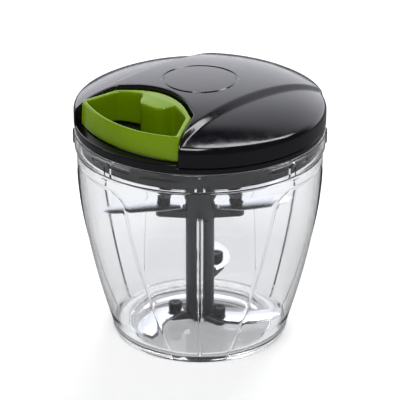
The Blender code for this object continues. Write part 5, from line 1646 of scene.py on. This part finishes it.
spring_sizes = {"Turns": 4.0, "Inner": 10.0, "Outer": 16.9, "Rise": 0.0, "Width": 0.4,
                "Height": 3.4}
spring = spiral("spring", spring_sizes, FLANGE_TOP + 3.1, True, SPRING_STEEL)
keep(spring, SPRING_STEEL, "lid_body", "spring_steel", "recoil_spring")
winding_sizes = {"Turns": 2.75, "Inner": 16.2, "Outer": 16.2, "Rise": 3.9, "Width": CORD_R}
winding = spiral("wound_cord", winding_sizes, SPOOL_LOW + 1.45, False, BRAID)
keep(winding, BRAID, "spool_body", "cord", "cord_winding")

# %% Spool, cup and the small turned parts
spool_profile = [(0.0, SOCKET_TOP), (7.4, SOCKET_TOP), (7.4, SLEEVE_BOTTOM, 0.3),
                 (SLEEVE_R, SLEEVE_BOTTOM, 0.4), (SLEEVE_R, SPOOL_LOW, 0.3),
                 (SPOOL_R, SPOOL_LOW, 0.3), (SPOOL_R, SPOOL_LOW + 1.0, 0.3),
                 (DRUM_R, SPOOL_LOW + 1.0, 0.4), (DRUM_R, SPOOL_LOW + 5.8, 0.4),
                 (SPOOL_R, SPOOL_LOW + 5.8, 0.3), (SPOOL_R, SPOOL_LOW + 6.8, 0.3),
                 (5.6, SPOOL_LOW + 6.8, 0.5), (5.0, SPOOL_TOP, 0.3), (2.0, SPOOL_TOP, 0.2),
                 (2.0, SOCKET_TOP + 6.0), (0.0, SOCKET_TOP + 6.0)]
spool = turned("spool", spool_profile, 96)
dog = sector("dogs", 5.4, 8.0, SLEEVE_BOTTOM + 0.4, SOCKET_TOP + 0.5, 20.0, 0.25)
combine(spool, "UNION", ring_of(dog, 2, 180.0, 115.0, SPOOL_WHITE))
keep(spool, SPOOL_WHITE, "spool_body", "spool", "cord_spool")

cup_low = FLANGE_TOP + 0.3
cup_profile = [(HUB_R, cup_low, 0.2), (CUP_R, cup_low, 0.4), (CUP_R, SPOOL_LOW - 0.4, 0.3),
               (CUP_R - 1.2, SPOOL_LOW - 0.4, 0.3), (CUP_R - 1.2, cup_low + 0.8, 0.4),
               (HUB_R, cup_low + 0.8, 0.2)]
keep(turned("cup", cup_profile, 96), CUP_GREY, "lid_body", "spring_cup", "spring_cup")

axle = cylinder("axle", 1.6, SOCKET_TOP + 6.3, CROWN_Z - 4.9, 40, (0.4, 0.2))
keep(axle, PIN_STEEL, "lid_body", "steel_pin", "spool_axle")

pin = cylinder("pin", 2.0, 2.7, 26.0, 48, (0.3, 0.9), steps=5)
keep(pin, PIN_STEEL, "bowl_body", "steel_pin", "blade_pin")

bush_profile = [(2.4, 12.9, 0.2), (4.2, 12.9, 0.3), (4.2, 24.0, 0.3), (2.4, 24.0, 0.2)]
keep(turned("bush", bush_profile, 56), BRONZE, "blade_body", "bush", "shaft_bush")

eyelet_profile = [(1.2, -0.9, 0.2), (2.2, -0.9), (2.2, 0.3), (3.4, 0.3), (3.4, 0.8, 0.3),
                  (1.5, 0.9, 0.3), (1.2, 0.6)]
eyelet = turned("eyelet", eyelet_profile, 56, tilt=90.0,
                shift=(0.0, back_y(4.17, POCKET_BACK_GAP), CORD_Z))
keep(eyelet, PIN_STEEL, "lid_body", "steel_pin", "cord_eyelet")

# %% Screws and their posts
screw_z = PLATE_LOW - 2.0
screw_profile = [(0.0, screw_z + 0.8), (1.1, screw_z + 0.8, 0.1), (1.1, screw_z, 0.1),
                 (3.0, screw_z, 0.5), (3.0, screw_z + 1.7), (1.3, screw_z + 1.7)]
for number in range(11):
    thread_z = screw_z + 2.6 + number
    screw_profile += [(1.3, thread_z), (1.05, thread_z + 0.25), (1.05, thread_z + 0.55),
                      (1.3, thread_z + 0.8)]
screw_profile += [(0.3, screw_z + 14.7), (0.0, screw_z + 14.7)]
screw = turned("screws", screw_profile, 32, 3, shift=(0.0, -SCREW_RING_R, 0.0))
screws = ring_of(screw, 3, 90.0, 90.0, SCREW_STEEL)
keep(screws, SCREW_STEEL, "lid_body", "screw", "lid_screw_1", "lid_screw_2", "lid_screw_3")

post_high = crown_height(SCREW_RING_R) - COVER_SHELL - PANEL_DROP + 0.6
post_profile = [(1.6, COVER_FOOT + 0.1), (4.0, COVER_FOOT + 0.1, 0.3), (4.0, post_high),
                (0.0, post_high), (0.0, screw_z + 15.2), (1.6, screw_z + 15.2)]
post = turned("cover_posts", post_profile, 48, 3, shift=(0.0, -SCREW_RING_R, 0.0))
posts = ring_of(post, 3, 90.0, 90.0, LID_GLOSS)
keep(posts, LID_GLOSS, "lid_body", "lid_cover")

# %% [markdown]
# ## The cord that stretches
#
# The cord is a thin braid, cream white, about one and a half millimetres thick. Its weave is only
# painted on, by a material that follows the length and the turn of the cord in a map of its own,
# with painted shade in the hollows between the strands.
# The stretch in the pocket has one end on the lid and the other on the handle.

# %% Cord and knot
TUBE_SIDES = 14
KNOT_STEPS = 63


def tube(name, route):
    """Round cord along a route, with closed ends and a map of length and turn."""
    bm = bmesh.new()
    braid = bm.loops.layers.uv.new("braid")
    rings = []
    lengths = [0.0]
    for index, place in enumerate(route):
        ahead = route[min(index + 1, len(route) - 1)] - route[max(index - 1, 0)]
        side_way = ahead.cross(Vector((0.0, 0.0, 1.0))).normalized()
        up_way = side_way.cross(ahead).normalized()
        ring = []
        for side in range(TUBE_SIDES):
            angle = 2.0 * math.pi * side / TUBE_SIDES
            out = side_way * math.cos(angle) + up_way * math.sin(angle)
            ring.append(bm.verts.new(place + CORD_R * out))
        rings.append(ring)
        if index:
            lengths.append(lengths[-1] + (place - route[index - 1]).length)
    for index, (low, high) in enumerate(zip(rings, rings[1:])):
        for side in range(TUBE_SIDES):
            after = (side + 1) % TUBE_SIDES
            face = bm.faces.new((low[side], low[after], high[after], high[side]))
            places = ((index, side), (index, side + 1), (index + 1, side + 1), (index + 1, side))
            for loop, (row, column) in zip(face.loops, places):
                loop[braid].uv = (lengths[row] * MM, column / TUBE_SIDES)
    bm.faces.new(rings[0])
    bm.faces.new(rings[-1][::-1])
    bmesh.ops.recalc_face_normals(bm, faces=bm.faces)
    return make_object(name, bm)


lay_r = 17.2 + CORD_R + 0.3     # the cord leaves the outermost turn on the spool
turn_y = HANDLE_BACK + POCKET_BACK_GAP + POCKET_WALL + CORD_R + 0.3
lay_angle = math.acos(lay_r / abs(turn_y))
lay = Vector((lay_r * math.sin(lay_angle), -lay_r * math.cos(lay_angle), CORD_Z))
bend = Vector((0.0, turn_y, CORD_Z))
route = [lay.lerp(bend, share) for share in numpy.linspace(0.0, 0.85, 8)]
knot_front = KNOT_Y + KNOT_R * 0.95 + 0.3
route += [Vector((0.0, y, CORD_Z)) for y in numpy.linspace(turn_y - 0.8, knot_front, 28)]
cord = tube("cord", route)
cord.data.materials.append(BRAID)
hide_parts("cord_run")
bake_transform(cord)

loop_route = []
for step in range(KNOT_STEPS + 1):
    angle = 2.0 * math.pi * step / KNOT_STEPS
    reach = 1.35 + 0.65 * math.cos(3.0 * angle)
    loop_route.append(Vector((reach * math.cos(2.0 * angle),
                              KNOT_Y + 0.868 * math.sin(3.0 * angle),
                              CORD_Z + reach * math.sin(2.0 * angle))))
keep(tube("knot", loop_route), BRAID, "handle_body", "cord", "cord_knot")

# %% [markdown]
# ## Last measures
#
# Every solid now has a piece in its place. The room that the pieces take is printed beside the room
# of the imported solids, with the solids that are still shown.

# %% Print the two boxes and the solids still shown
seen_box = [list(corner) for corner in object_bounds()]
for label, box in (("packed solids", cad_box), ("pieces", seen_box)):
    print(label, [[round(value / MM, 1) for value in corner] for corner in box])
still = [name for name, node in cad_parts.items() if not node.hide_render]
print("packed solids still shown:", still)
